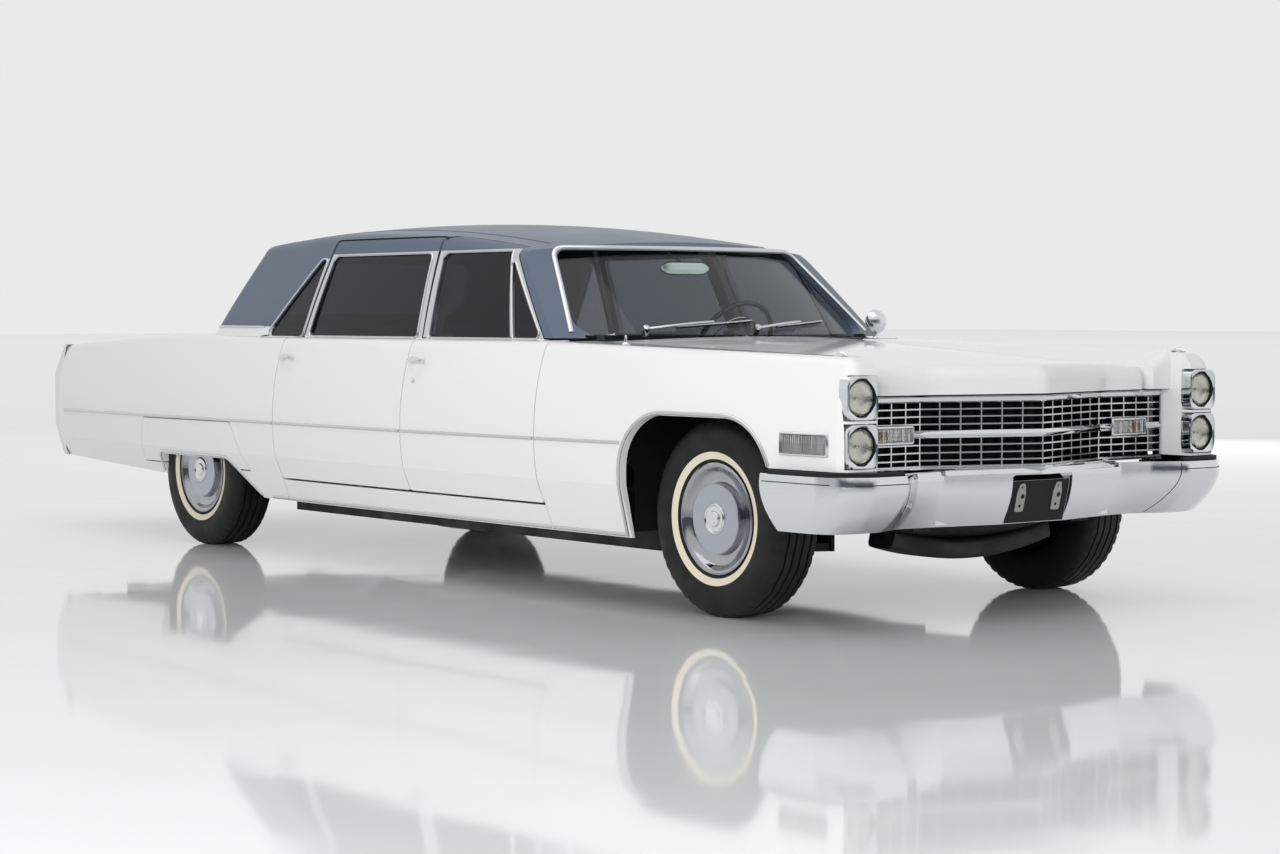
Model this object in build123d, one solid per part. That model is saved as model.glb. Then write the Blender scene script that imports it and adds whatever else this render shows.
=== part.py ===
from build123d import *
from math import asin, cos, degrees, hypot, radians, sin, tan
import os

# A six-window formal limousine of the mid 1960s: separate painted panels on a perimeter frame, four doors
# cut into a fabric-covered roof, a prow grille between stacked headlamps, steered front wheels and a live axle.
# Millimetres. X points forward, Y to the car's left, Z up; the origin is on the ground at the car's middle.

# Overall layout
WHEELBASE = 3805
FRONT_OVERHANG = 812
REAR_OVERHANG = 1593
BODY_HALF_WIDTH = 1010
HALF_TRACK = BODY_HALF_WIDTH - 216
FRONT_AXLE_X = (FRONT_OVERHANG + WHEELBASE + REAR_OVERHANG) / 2 - FRONT_OVERHANG
REAR_AXLE_X = FRONT_AXLE_X - WHEELBASE
NOSE_X = FRONT_AXLE_X + FRONT_OVERHANG
TAIL_X = REAR_AXLE_X - REAR_OVERHANG

# Shut lines, seen from the side
DASH_TO_AXLE = 957
FRONT_DOOR_LENGTH = 933
REAR_DOOR_LENGTH = 1055
A_CUT_X = FRONT_AXLE_X - DASH_TO_AXLE
B_CUT_X = A_CUT_X - FRONT_DOOR_LENGTH
C_CUT_X = B_CUT_X - REAR_DOOR_LENGTH
SHUT_GAP = 7
LID_GAP = 8
SWING_RELIEF = 10
SEAT_GAP = 0.4

# Body side: a tucked rocker, a barrelled flank and a soft shoulder, bowed in plan on one large arc
BODY_PLAN_RADIUS = 58500
BODY_WIDEST_X = FRONT_AXLE_X - 1900
SILL_BOTTOM_Z = 255
SILL_HALF_WIDTH = BODY_HALF_WIDTH - 95
CREASE_Z = 455
CREASE_HALF_WIDTH = BODY_HALF_WIDTH - 14
WAIST_Z = 606
FLANK_TOP_Z = 1060
FLANK_TOP_HALF_WIDTH = BODY_HALF_WIDTH - 100
DOOR_BOTTOM_Z = 357
BELT_Z = 985
SHOULDER_RADIUS = 48
DOOR_WALL = 114
DOOR_SKIN = 26
FENDER_WALL = 28
QUARTER_WALL = 34

# Greenhouse: curved side glass leaning in, a roof crowned both ways, and bowed front and rear glass
CABIN_BASE_Z = 940
CABIN_BASE_HALF_WIDTH = BODY_HALF_WIDTH - 111
CABIN_MID_Z = 1160
CABIN_MID_HALF_WIDTH = BODY_HALF_WIDTH - 181
CABIN_TOP_Z = 1500
CABIN_TOP_HALF_WIDTH = BODY_HALF_WIDTH - 320
CABIN_PLAN_RADIUS = 26000
CABIN_WIDEST_X = FRONT_AXLE_X - 2250
ROOF_TOP_Z = 1490
ROOF_TOP_X = FRONT_AXLE_X - 2650
ROOF_LENGTH_RADIUS = 9200
ROOF_CROWN_RADIUS = 4500
ROOF_RAIL_RADIUS = 70
ROOF_REAR_RADIUS = 110
ROOF_WALL = 40
FRAME_WALL = 26
GLASS_THICKNESS = 5
GLASS_DEPTH = 9
VINYL_EDGE_Z = 1030
ROOF_CUT_Z = 1412
ROOF_CUT_Y = CABIN_TOP_HALF_WIDTH - 14
WINDSHIELD_BASE = (FRONT_AXLE_X - 800, 1000)
WINDSHIELD_LEAN = 49.8
WINDSHIELD_RADIUS = 2464
WINDSHIELD_GLASS_RADIUS = 2020
WINDSHIELD_GLASS_DEPTH = 9
BACKLIGHT_BASE = (REAR_AXLE_X - 185, 1010)
BACKLIGHT_LEAN = 41.0
BACKLIGHT_RADIUS = 2200

# Wheels and tyres
TYRE_RADIUS = 355
TYRE_WIDTH = 214
RIM_RADIUS = 203
RIM_WIDTH = 168
SPINDLE_RADIUS = 30
KINGPIN_Y = HALF_TRACK - 139

# Front end
HOOD_HALF_WIDTH = BODY_HALF_WIDTH - 310
POD_INNER_Y = BODY_HALF_WIDTH - 210
LAMP_FACE_X = FRONT_AXLE_X + 748
LAMP_Y = BODY_HALF_WIDTH - 144
LAMP_Z = (642, 805)
LAMP_RADIUS = 62
BEZEL_HALF = 71
HOOD_LIP_Z = 806
GRILLE_TOP_Z = 792
GRILLE_BOTTOM_Z = 548
BUMPER_TOP_Z = 541
BUMPER_BOTTOM_Z = 343


def rounded_face(corners):
    """A flat closed face from corners (a, b) or (a, b, corner radius), with tangent arcs at round corners."""
    places = [(c[0], c[1], c[2] if len(c) > 2 else 0) for c in corners]
    joints = []
    for i, (px, py, radius) in enumerate(places):
        ax, ay, _ = places[i - 1]
        bx, by, _ = places[(i + 1) % len(places)]
        if radius == 0:
            joints.append(((px, py), None, (px, py)))
            continue
        la, lb = hypot(ax - px, ay - py), hypot(bx - px, by - py)
        ux, uy, vx, vy = (ax - px) / la, (ay - py) / la, (bx - px) / lb, (by - py) / lb
        wx, wy = ux + vx, uy + vy
        lw = hypot(wx, wy)
        half = asin(min(1.0, abs(ux * vy - uy * vx) / lw))
        run, reach = radius / tan(half), radius / sin(half) - radius
        middle = (px + wx / lw * reach, py + wy / lw * reach)
        joints.append(((px + ux * run, py + uy * run), middle, (px + vx * run, py + vy * run)))
    edges = []
    for i, (start, middle, end) in enumerate(joints):
        if middle:
            edges.append(ThreePointArc(start, middle, end))
        following = joints[(i + 1) % len(joints)][0]
        if hypot(following[0] - end[0], following[1] - end[1]) > 1e-6:
            edges.append(Line(end, following))
    return make_face(Curve() + edges)


def prism_xz(corners, y0, y1):
    """Side-view outline (x, z[, radius]) carried across from y0 to y1."""
    return Pos(0, y0, 0) * extrude(Plane.XZ * rounded_face(corners), amount=y1 - y0, dir=(0, 1, 0))


def prism_xy(corners, z0, z1):
    """Plan outline (x, y[, radius]) carried up from z0 to z1."""
    return Pos(0, 0, z0) * extrude(rounded_face(corners), amount=z1 - z0)


def prism_yz(corners, x0, x1):
    """Front-view outline (y, z[, radius]) carried forward from x0 to x1."""
    return Pos(x0, 0, 0) * extrude(Plane.YZ * rounded_face(corners), amount=x1 - x0, dir=(1, 0, 0))


def block(x0, x1, y0, y1, z0, z1):
    return Pos((x0 + x1) / 2, (y0 + y1) / 2, (z0 + z1) / 2) * Box(x1 - x0, y1 - y0, z1 - z0)


def other_side(piece):
    """The same piece on the other side of the car."""
    return mirror(piece, about=Plane.XZ)


def bowed_side(section_edges, widest_x, half_width, plan_radius, half_length):
    """Turns a section (distance from the middle plane, z) about a far vertical axis, bowing it in plan."""
    axis_y = half_width - plan_radius
    half_turn = half_length / plan_radius
    radial = Vector(sin(half_turn), cos(half_turn), 0)
    plane = Plane(origin=(widest_x, axis_y, 0), x_dir=radial, z_dir=radial.cross(Vector(0, 0, 1)))
    face = plane * (Pos(-axis_y, 0) * make_face(Curve() + section_edges))
    return revolve(face, Axis((widest_x, axis_y, 0), (0, 0, 1)), revolution_arc=degrees(2 * half_turn))


def body_flank(inset=0, floor=SILL_BOTTOM_Z):
    """Everything on the car's left up to its outer skin, or to a wall that thick inside it."""
    across = -BODY_HALF_WIDTH - 190
    sill, crease = (SILL_HALF_WIDTH - inset, floor), (CREASE_HALF_WIDTH - inset, CREASE_Z)
    top = (FLANK_TOP_HALF_WIDTH - inset, FLANK_TOP_Z)
    edges = [Line((across, floor), sill), Line(sill, crease)]
    edges += [ThreePointArc(crease, (BODY_HALF_WIDTH - inset, WAIST_Z), top)]
    edges += [Line(top, (across, FLANK_TOP_Z)), Line((across, FLANK_TOP_Z), (across, floor))]
    return bowed_side(edges, BODY_WIDEST_X, BODY_HALF_WIDTH, BODY_PLAN_RADIUS, 4300)


def cabin_flank(inset=0):
    """The same for the greenhouse: curved side glass that leans in."""
    across = -BODY_HALF_WIDTH - 190
    base, middle = (CABIN_BASE_HALF_WIDTH - inset, CABIN_BASE_Z), (CABIN_MID_HALF_WIDTH - inset, CABIN_MID_Z)
    top = (CABIN_TOP_HALF_WIDTH - inset, CABIN_TOP_Z)
    edges = [Line((across, CABIN_BASE_Z), base), ThreePointArc(base, middle, top)]
    edges += [Line(top, (across, CABIN_TOP_Z)), Line((across, CABIN_TOP_Z), (across, CABIN_BASE_Z))]
    return bowed_side(edges, CABIN_WIDEST_X, CABIN_BASE_HALF_WIDTH, CABIN_PLAN_RADIUS, 2600)


def roof_crown(inset=0):
    """Everything under the roof's top skin, which is one arc across the car carried along another."""
    reach, half_turn = 1000, 14
    top = ROOF_TOP_Z - inset
    axis_z = ROOF_TOP_Z - ROOF_LENGTH_RADIUS
    drop = reach**2 / (2 * ROOF_CROWN_RADIUS)
    left, right = (-reach, top - drop - axis_z), (reach, top - drop - axis_z)
    low = CABIN_BASE_Z - 60 - axis_z
    edges = [ThreePointArc(left, (0, top - axis_z), right), Line(right, (reach, low))]
    edges += [Line((reach, low), (-reach, low)), Line((-reach, low), left)]
    plane = Plane(origin=(ROOF_TOP_X, 0, axis_z), x_dir=(0, 1, 0), z_dir=(1, 0, 0))
    axis = Axis((ROOF_TOP_X, 0, axis_z), (0, 1, 0))
    face = (plane * make_face(Curve() + edges)).rotate(axis, -half_turn)
    return revolve(face, axis, revolution_arc=2 * half_turn)


def leaning_drum(base, lean, radius, inset, sense):
    """A drum whose front (sense 1) or rear (sense -1) wall is bowed glass leaning by that many degrees."""
    along = Vector(-sense * sin(radians(lean)), 0, cos(radians(lean)))
    outward = Vector(sense * cos(radians(lean)), 0, sin(radians(lean)))
    centre = Vector(base[0], 0, base[1]) - outward * (radius + inset)
    return Plane(origin=centre, x_dir=(0, 1, 0), z_dir=along) * Cylinder(radius, 9000)


def greenhouse(inset=0):
    """The closed form of the cabin above the belt, or a form that far inside it."""
    side = cabin_flank(inset)
    form = side & other_side(side) & roof_crown(inset)
    form &= leaning_drum(WINDSHIELD_BASE, WINDSHIELD_LEAN, WINDSHIELD_RADIUS, inset, 1)
    form &= leaning_drum(BACKLIGHT_BASE, BACKLIGHT_LEAN, BACKLIGHT_RADIUS, inset, -1)
    return form


def cabin_skin():
    """The greenhouse with its rounded roof rails and rear edge."""
    form = greenhouse()
    rails = [e for e in form.edges() if e.center().Z > 1300 and abs(e.center().Y) > 500]
    rails = [e for e in rails if e.length > 1500]
    form = fillet(rails, ROOF_RAIL_RADIUS)
    rear = [e for e in form.edges() if e.center().Z > 1300 and e.center().X < ROOF_TOP_X - 500]
    rear = [e for e in rear if abs(e.center().Y) < 200 and e.length > 800]
    return fillet(rear, ROOF_REAR_RADIUS)


def front(distance):
    """X of a place measured ahead of the front axle."""
    return FRONT_AXLE_X + distance


def rear(distance):
    """X of a place measured ahead of the rear axle."""
    return REAR_AXLE_X + distance


def long_edges(solid, low, inner, length):
    """The edges above a level, outside a half width and longer than a length."""
    found = [e for e in solid.edges() if e.length > length]
    return [e for e in found if e.center().Z > low and e.center().Y > inner]


def inboard(distance):
    """Y of a place measured in from the widest point of the body side."""
    return BODY_HALF_WIDTH - distance


def a_line(z):
    """X of the front edge of the front door's upper frame, which follows the windshield post."""
    return front(-1080) - (z - BELT_Z) * 0.955


def b_line(z):
    """X of the middle of the shut line between the doors, above the belt."""
    return B_CUT_X - 22 - (z - BELT_Z) * 0.175


def c_line(z):
    """X of the middle of the shut line behind the rear door, above the belt."""
    return C_CUT_X + 72 + (z - BELT_Z) * 0.085


PARTS = {}


def biggest(piece):
    """The largest solid of a cut shape."""
    return max(piece.solids(), key=lambda solid: solid.volume)


def keep(name, piece):
    """Files one node's shape under its name."""
    PARTS[name] = piece


def both_sides(name, piece):
    """Files a left piece and its mirror image on the right."""
    keep(name + "_left", piece)
    keep(name + "_right", other_side(piece))


FLANK = body_flank()
CABIN = cabin_skin()
CABIN_SHELL = CABIN - greenhouse(ROOF_WALL)
FRAME_SHELL = CABIN - greenhouse(FRAME_WALL)
GLASS_SHELL = greenhouse(GLASS_DEPTH) - greenhouse(GLASS_DEPTH + GLASS_THICKNESS)
OUT = BODY_HALF_WIDTH + 290

# Windows, seen from the side
GLASS_LOW, GLASS_HIGH = 993, 1340
FRONT_WINDOW = [(b_line(GLASS_LOW) + 48, GLASS_LOW, 12), (b_line(GLASS_HIGH) + 48, GLASS_HIGH, 30)]
FRONT_WINDOW += [(a_line(GLASS_HIGH) - 42, GLASS_HIGH), (front(-1305), GLASS_LOW)]
VENT_WINDOW = [(front(-1283), GLASS_LOW, 8), (a_line(GLASS_HIGH) - 17, GLASS_HIGH - 24, 6)]
VENT_WINDOW += [(a_line(GLASS_LOW) - 24, GLASS_LOW, 14)]
REAR_WINDOW = [(c_line(GLASS_LOW) + 46, GLASS_LOW, 12), (c_line(GLASS_HIGH) + 46, GLASS_HIGH, 30)]
REAR_WINDOW += [(b_line(GLASS_HIGH) - 46, GLASS_HIGH, 30), (b_line(GLASS_LOW) - 46, GLASS_LOW, 12)]
QUARTER_LOW, QUARTER_HIGH = 988, 1326
QUARTER_WINDOW = [(c_line(QUARTER_LOW) - 355, QUARTER_LOW, 20), (c_line(QUARTER_HIGH) - 66, QUARTER_HIGH, 26)]
QUARTER_WINDOW += [(c_line(QUARTER_HIGH) - 24, QUARTER_HIGH, 12), (c_line(QUARTER_LOW) - 24, QUARTER_LOW, 10)]


def door_outline(front_x, rear_x, edge_front, edge_rear, gap):
    """Lower door outline and upper frame outline, drawn in by the gap."""
    low = DOOR_BOTTOM_Z + gap
    lower = [(rear_x + gap, low, 14), (rear_x + gap, BELT_Z)]
    lower += [(front_x - gap, BELT_Z), (front_x - gap, low, 14)]
    base, top = BELT_Z - 30, ROOF_CUT_Z - gap
    swing = SWING_RELIEF if gap > 0 else 0
    upper = [(edge_rear(base) + gap, base), (edge_rear(top) + gap + swing, top, 30)]
    upper += [(edge_front(top) - gap, top, 40), (edge_front(base) - gap, base)]
    return lower, upper


def door(front_x, rear_x, edge_front, edge_rear, windows):
    """A full-depth door: outer skin, a body stepped in at its edge, and a window frame up into the roof."""
    half = SHUT_GAP / 2
    lower, upper = door_outline(front_x, rear_x, edge_front, edge_rear, half)
    full = FLANK & prism_xz(lower, 400, OUT)
    shoulder = long_edges(full, BELT_Z - 5, FLANK_TOP_HALF_WIDTH - 30, 500)
    full = fillet(shoulder, SHOULDER_RADIUS)
    low, top = DOOR_BOTTOM_Z + 24, BELT_Z + 40
    inner = [(rear_x + 26, low, 20), (rear_x + 26, top), (front_x - 14, top), (front_x - 14, low, 20)]
    core = (full & prism_xz(inner, 400, OUT)) - body_flank(DOOR_WALL, SILL_BOTTOM_Z - 20)
    slab = (full - body_flank(DOOR_SKIN, SILL_BOTTOM_Z - 20)) + core
    frame = FRAME_SHELL & prism_xz(upper, ROOF_CUT_Y, OUT)
    foot = frame & block(rear_x + half, front_x - half, 0, OUT, BELT_Z, BELT_Z + 20)
    frame -= block(-5000, 5000, 0, OUT, 0, BELT_Z + 6)
    whole = slab + foot + frame
    for window in windows:
        whole -= prism_xz(window, 400, OUT)
    return whole


def panes(windows):
    """Curved glass that fills each window."""
    glass = [GLASS_SHELL & prism_xz(window, 400, OUT) for window in windows]
    return Compound(children=[g.solid() for g in glass]) if len(glass) > 1 else glass[0].solid()


both_sides("door_front", door(A_CUT_X, B_CUT_X, a_line, b_line, [FRONT_WINDOW, VENT_WINDOW]))
both_sides("door_rear", door(B_CUT_X, C_CUT_X, b_line, c_line, [REAR_WINDOW]))
both_sides("front_door_glass", panes([FRONT_WINDOW, VENT_WINDOW]))
both_sides("rear_door_glass", panes([REAR_WINDOW]))

# Roof with windshield posts and rear quarters, and the fixed glass
DOORWAYS = []
for spec in ((A_CUT_X, B_CUT_X, a_line, b_line), (B_CUT_X, C_CUT_X, b_line, c_line)):
    doorway = prism_xz(door_outline(*spec, -SHUT_GAP / 2)[1], ROOF_CUT_Y - SHUT_GAP, OUT)
    DOORWAYS += [doorway, other_side(doorway)]
B_TOP_X = b_line(ROOF_CUT_Z)
B_GAP = [(b_line(900) - 12, 900), (B_TOP_X - 12, ROOF_CUT_Z), (B_TOP_X + 12, ROOF_CUT_Z)]
B_GAP += [(b_line(900) + 12, 900)]
WIND_LOW, WIND_HIGH = CABIN_BASE_HALF_WIDTH - 127, CABIN_TOP_HALF_WIDTH - 68
WIND_OPENING = [(-WIND_LOW, 1004, 50), (WIND_LOW, 1004, 50), (WIND_HIGH, 1346, 60), (-WIND_HIGH, 1346, 60)]
BACK_LOW, BACK_HIGH = CABIN_TOP_HALF_WIDTH - 90, CABIN_TOP_HALF_WIDTH - 170
BACK_OPENING = [(-BACK_LOW, 1085, 60), (BACK_LOW, 1085, 60), (BACK_HIGH, 1330, 70), (-BACK_HIGH, 1330, 70)]
WIND_CUT = prism_yz(WIND_OPENING, front(-1700), front(-600))
BACK_CUT = prism_yz(BACK_OPENING, TAIL_X, rear(500))
DOOR_SPAN = (C_CUT_X + 40, A_CUT_X + 100)

roof = CABIN_SHELL - block(-5000, DOOR_SPAN[0], -OUT, OUT, 0, VINYL_EDGE_Z)
roof -= block(DOOR_SPAN[0] - 1, 5000, -OUT, OUT, 0, BELT_Z + 8)
roof -= block(front(-1500), 5000, 32 - WIND_LOW, WIND_LOW - 32, 0, 1004)
B_CUTTER, QUARTER_CUTTER = prism_xz(B_GAP, -OUT, OUT), prism_xz(QUARTER_WINDOW, -OUT, OUT)
for cutter in DOORWAYS + [WIND_CUT, BACK_CUT, B_CUTTER, QUARTER_CUTTER]:
    roof -= cutter
keep("roof", roof)

glass_bow = (WINDSHIELD_GLASS_RADIUS, WINDSHIELD_GLASS_DEPTH)
glass_front = leaning_drum(WINDSHIELD_BASE, WINDSHIELD_LEAN, *glass_bow, 1)
glass_back = WINDSHIELD_GLASS_DEPTH + GLASS_THICKNESS
glass_front -= leaning_drum(WINDSHIELD_BASE, WINDSHIELD_LEAN, WINDSHIELD_GLASS_RADIUS, glass_back, 1)
keep("windshield", (glass_front & WIND_CUT).solid())
rear_glass = leaning_drum(BACKLIGHT_BASE, BACKLIGHT_LEAN, BACKLIGHT_RADIUS, 10, -1)
rear_glass -= leaning_drum(BACKLIGHT_BASE, BACKLIGHT_LEAN, BACKLIGHT_RADIUS, 15, -1)
keep("rear_window", (rear_glass & BACK_CUT & block(TAIL_X, rear(300), -OUT, OUT, 900, 1400)).solid())
quarter_pane = (GLASS_SHELL & prism_xz(QUARTER_WINDOW, 400, OUT)).solid()
keep("quarter_glass", Compound(children=[quarter_pane, other_side(quarter_pane)]))

# Front fenders with the lamp pods
FENDER_TOP_REAR, FENDER_TOP_FRONT = 982, 941
HOOD_SIDE_REAR, HOOD_SIDE_FRONT = 972, 886
FRONT_ARCH = [(front(-482), 200), (front(-440), 470), (front(-402), 722, 230), (front(318), 722, 240)]
FRONT_ARCH += [(front(372), 540), (front(372), 200)]
fender_side = [(A_CUT_X + SHUT_GAP / 2, SILL_BOTTOM_Z), (A_CUT_X + SHUT_GAP / 2, FENDER_TOP_REAR)]
fender_side += [(LAMP_FACE_X, FENDER_TOP_FRONT, 70), (LAMP_FACE_X, BUMPER_TOP_Z + 16)]
fender_side += [(front(300), BUMPER_TOP_Z + 16), (front(300), SILL_BOTTOM_Z)]
fender = FLANK & prism_xz(fender_side, 0, OUT)
shoulder = long_edges(fender, 930, FLANK_TOP_HALF_WIDTH - 60, 1000)
fender = fillet(shoulder, SHOULDER_RADIUS)
hollow_side = [(A_CUT_X - 50, SILL_BOTTOM_Z - 50), (A_CUT_X - 50, HOOD_SIDE_REAR - 32)]
hollow_side += [(front(590), HOOD_SIDE_FRONT - 30), (front(590), SILL_BOTTOM_Z - 50)]
fender -= body_flank(FENDER_WALL, SILL_BOTTOM_Z - 50) & prism_xz(hollow_side, 0, OUT)
fender -= prism_xz(FRONT_ARCH, HALF_TRACK - 194, OUT)
fender -= block(-5000, 5000, -OUT, HOOD_HALF_WIDTH + LID_GAP / 2, 0, OUT)
fender -= block(front(588), 5000, 0, POD_INNER_Y, 0, 824)
fender -= block(front(632), 5000, 0, POD_INNER_Y, 0, OUT)
slope = (HOOD_SIDE_REAR - HOOD_SIDE_FRONT) / 1470
roll_foot, roll_top = HOOD_HALF_WIDTH - 10, HOOD_HALF_WIDTH + 130
rolled = [(roll_foot, -8), (roll_top, 72), (roll_top, 300), (roll_foot - 90, 300), (roll_foot - 90, -8)]
rolled = Pos(front(760), 0, HOOD_SIDE_FRONT - 140 * slope) * (Plane.YZ * rounded_face(rolled))
fender -= extrude(rolled, amount=1720, dir=(-cos(slope), 0, sin(slope)))
LAMP_SIDE = body_flank(5)
for z in LAMP_Z:
    seat = block(LAMP_FACE_X - 45, 3300, LAMP_Y - BEZEL_HALF, LAMP_Y + BEZEL_HALF, z - 77, z + 77)
    fender -= seat & LAMP_SIDE
both_sides("front_fender", fender)

# Stacked headlamps: a square bezel with a domed lens in it
lamps = []
for side in (-1, 1):
    for z in LAMP_Z:
        inner, outer = LAMP_Y - BEZEL_HALF + 1, LAMP_Y + BEZEL_HALF - 1
        bezel = block(LAMP_FACE_X - 45, LAMP_FACE_X + 2, inner, outer, z - 76, z + 76) & body_flank(6)
        bezel -= Pos(LAMP_FACE_X + 2, LAMP_Y, z) * (Rot(0, 90, 0) * Cylinder(LAMP_RADIUS, 24))
        lens = Pos(LAMP_FACE_X - 10, LAMP_Y, z) * (Rot(0, 90, 0) * Cylinder(LAMP_RADIUS, 4))
        lamps.append(bezel + lens if side > 0 else other_side(bezel + lens))
keep("headlamps", Compound(children=[lamp.solid() for lamp in lamps]))

# Hood: a crowned skin with a lip at the prow, and the cowl behind it on the same crown
HOOD_CORNER_X, HOOD_MIDDLE_X, COWL_X = front(-835), front(-690), front(-1090)
HOOD_CROWN, HOOD_WALL = 28, 26


def hood_bar(drop):
    """Everything under the crowned line that hood and cowl share, or that far below it."""
    half, side = HOOD_HALF_WIDTH + 160, HOOD_SIDE_REAR - drop - 15
    reach = HOOD_CORNER_X - COWL_X
    edges = [ThreePointArc((-half, side), (0, HOOD_SIDE_REAR + HOOD_CROWN - drop), (half, side))]
    edges += [Line((half, side), (half, 500)), Line((half, 500), (-half, 500))]
    edges += [Line((-half, 500), (-half, side))]
    face = Pos(COWL_X, 0, reach * tan(slope)) * (Plane.YZ * make_face(Curve() + edges))
    return extrude(face, amount=2100, dir=(cos(slope), 0, -sin(slope)))


def rear_arc(gap):
    """Plan region ahead of the hood's bowed rear edge, moved back by a gap."""
    half = HOOD_HALF_WIDTH - LID_GAP / 2 + 160
    run = half / (HOOD_HALF_WIDTH - LID_GAP / 2)
    corner = HOOD_MIDDLE_X - (HOOD_MIDDLE_X - HOOD_CORNER_X) * run**2
    edges = [ThreePointArc((corner - gap, -half), (HOOD_MIDDLE_X - gap, 0), (corner - gap, half))]
    edges += [Line((corner - gap, half), (front(900), half)), Line((front(900), half), (front(900), -half))]
    edges += [Line((front(900), -half), (corner - gap, -half))]
    return Pos(0, 0, 300) * extrude(make_face(Curve() + edges), amount=900)


PROW = [(front(632), 60), (front(646), 200), (front(768), 90)]
NOSE_ROLL = 55
STEP_Y = 455


def hood_plan(setback, half):
    """Plan outline with the prow, drawn back by a setback."""
    (corner, r0), (step, r1), (tip, r2) = [(x - setback, r) for x, r in PROW]
    right = [(front(-1200), -half), (corner, -half, r0), (step, -STEP_Y, r1), (tip, 0, r2)]
    return right + [(step, STEP_Y, r1), (corner, half, r0), (front(-1200), half)]


def hood_form(drop, setback, floor):
    """The hood's closed form from a floor level up, or one that far below and behind its skin."""
    half = HOOD_HALF_WIDTH - LID_GAP / 2
    return hood_bar(drop) & rear_arc(0) & prism_xy(hood_plan(setback, half), floor, 1100)


hood = hood_form(0, 0, HOOD_LIP_Z)
nose = [e for e in hood.edges() if e.center().X > front(560) and e.center().Z > HOOD_LIP_Z + NOSE_ROLL]
nose = [e for e in nose if e.bounding_box().size.Z < NOSE_ROLL / 2]
keep("hood", biggest(fillet(nose, NOSE_ROLL) - hood_form(HOOD_WALL, 34, 300)))

cowl = hood_bar(0) - hood_bar(30) - rear_arc(LID_GAP) - CABIN
COWL_HALF = HOOD_HALF_WIDTH + 130
cowl &= block(front(-1090), front(-500), -COWL_HALF, COWL_HALF, 900, 1100)
firewall = block(front(-905), front(-880), -COWL_HALF, COWL_HALF, 430, 970) & hood_bar(10)
cowl = cowl + (firewall - CABIN)
for side in (-1, 1):
    beside = side * (HOOD_HALF_WIDTH + LID_GAP / 2 + 100)
    cowl -= Pos(0, beside, 0) * block(front(-957), 5000, -100, 100, 905, OUT)
keep("cowl", biggest(cowl))

# Quarter panels with the skirted wheel opening
REAR_ARCH = [(rear(-322), 200), (rear(-300), 420, 40), (rear(384), 424, 90), (rear(690), 200)]
SKIRT = [(rear(-510), 380), (rear(-446), 588, 30), (rear(455), 594, 30), (rear(570), 380)]
TAIL_TOP_X, TAIL_MID_X = rear(-1432), rear(-1470)
quarter_side = [(C_CUT_X - SHUT_GAP / 2, SILL_BOTTOM_Z), (C_CUT_X - SHUT_GAP / 2, BELT_Z)]
quarter_top = [(rear(-220), 992, 2000), (TAIL_TOP_X, 931)]
quarter_tail = [(TAIL_MID_X, 810), (TAIL_MID_X, 505), (TAIL_TOP_X - 10, 364)]
quarter_tail += [(rear(-315), 322), (rear(-315), 255)]
quarter = FLANK & prism_xz((quarter_side + quarter_top + quarter_tail)[::-1], 0, OUT)
shoulder = long_edges(quarter, 925, FLANK_TOP_HALF_WIDTH - 90, 300)
quarter = fillet(shoulder, 40)
under = [(x, z - QUARTER_WALL) for x, z, *_ in quarter_top]
hollow_rear = [(C_CUT_X + 50, 150), (C_CUT_X + 50, BELT_Z - QUARTER_WALL)] + under[:1]
hollow_rear += [(TAIL_TOP_X - 100, under[1][1] - 3), (TAIL_TOP_X - 100, 150)]
quarter -= body_flank(QUARTER_WALL, SILL_BOTTOM_Z - 50) & prism_xz(hollow_rear[::-1], 0, OUT)
TRUNK_HALF = HOOD_HALF_WIDTH - 36
quarter -= block(-5000, 5000, -OUT, TRUNK_HALF + LID_GAP / 2, 0, OUT)
quarter -= block(C_CUT_X - 900, 5000, 0, POD_INNER_Y, 0, OUT)
sail_y = CABIN_TOP_HALF_WIDTH - 50
sail = CABIN_SHELL & block(rear(-500), C_CUT_X + 40, sail_y, OUT, CABIN_BASE_Z, VINYL_EDGE_Z)
sail -= prism_xz(QUARTER_WINDOW, 0, OUT)
sail -= block(C_CUT_X - SHUT_GAP / 2, 5000, 0, OUT, 0, BELT_Z + 6)
for cutter in DOORWAYS:
    sail -= cutter
quarter = quarter - prism_xz(QUARTER_WINDOW, 0, OUT) + sail
WELL_Y = HALF_TRACK - 194
quarter -= prism_xz(REAR_ARCH, WELL_Y, OUT)
skirt = quarter & prism_xz(SKIRT, WELL_Y, OUT)
grow = [(rear(-515), 375), (rear(-450), 592, 30), (rear(459), 598, 30), (rear(576), 375)]
quarter -= prism_xz(grow, WELL_Y, OUT)
wheelhouse = Pos(REAR_AXLE_X, HALF_TRACK - 44, TYRE_RADIUS) * (Rot(90, 0, 0) * Cylinder(368, 300))
flange = [(rear(-530), 430), (rear(-462), 606, 40), (rear(471), 612, 40), (rear(590), 430)]
backing = body_flank(QUARTER_WALL, SILL_BOTTOM_Z - 50) - body_flank(QUARTER_WALL + 8, SILL_BOTTOM_Z - 60)
backing &= prism_xz(flange, WELL_Y, OUT)
inside = [(rear(-480), 380), (rear(-430), 570, 30), (rear(440), 576, 30), (rear(545), 380)]
quarter += backing - prism_xz(inside, WELL_Y, OUT)
quarter -= wheelhouse
skirt -= wheelhouse
both_sides("quarter_panel", quarter)
keep("fender_skirts", Compound(children=[skirt.solid(), other_side(skirt.solid())]))

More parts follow.
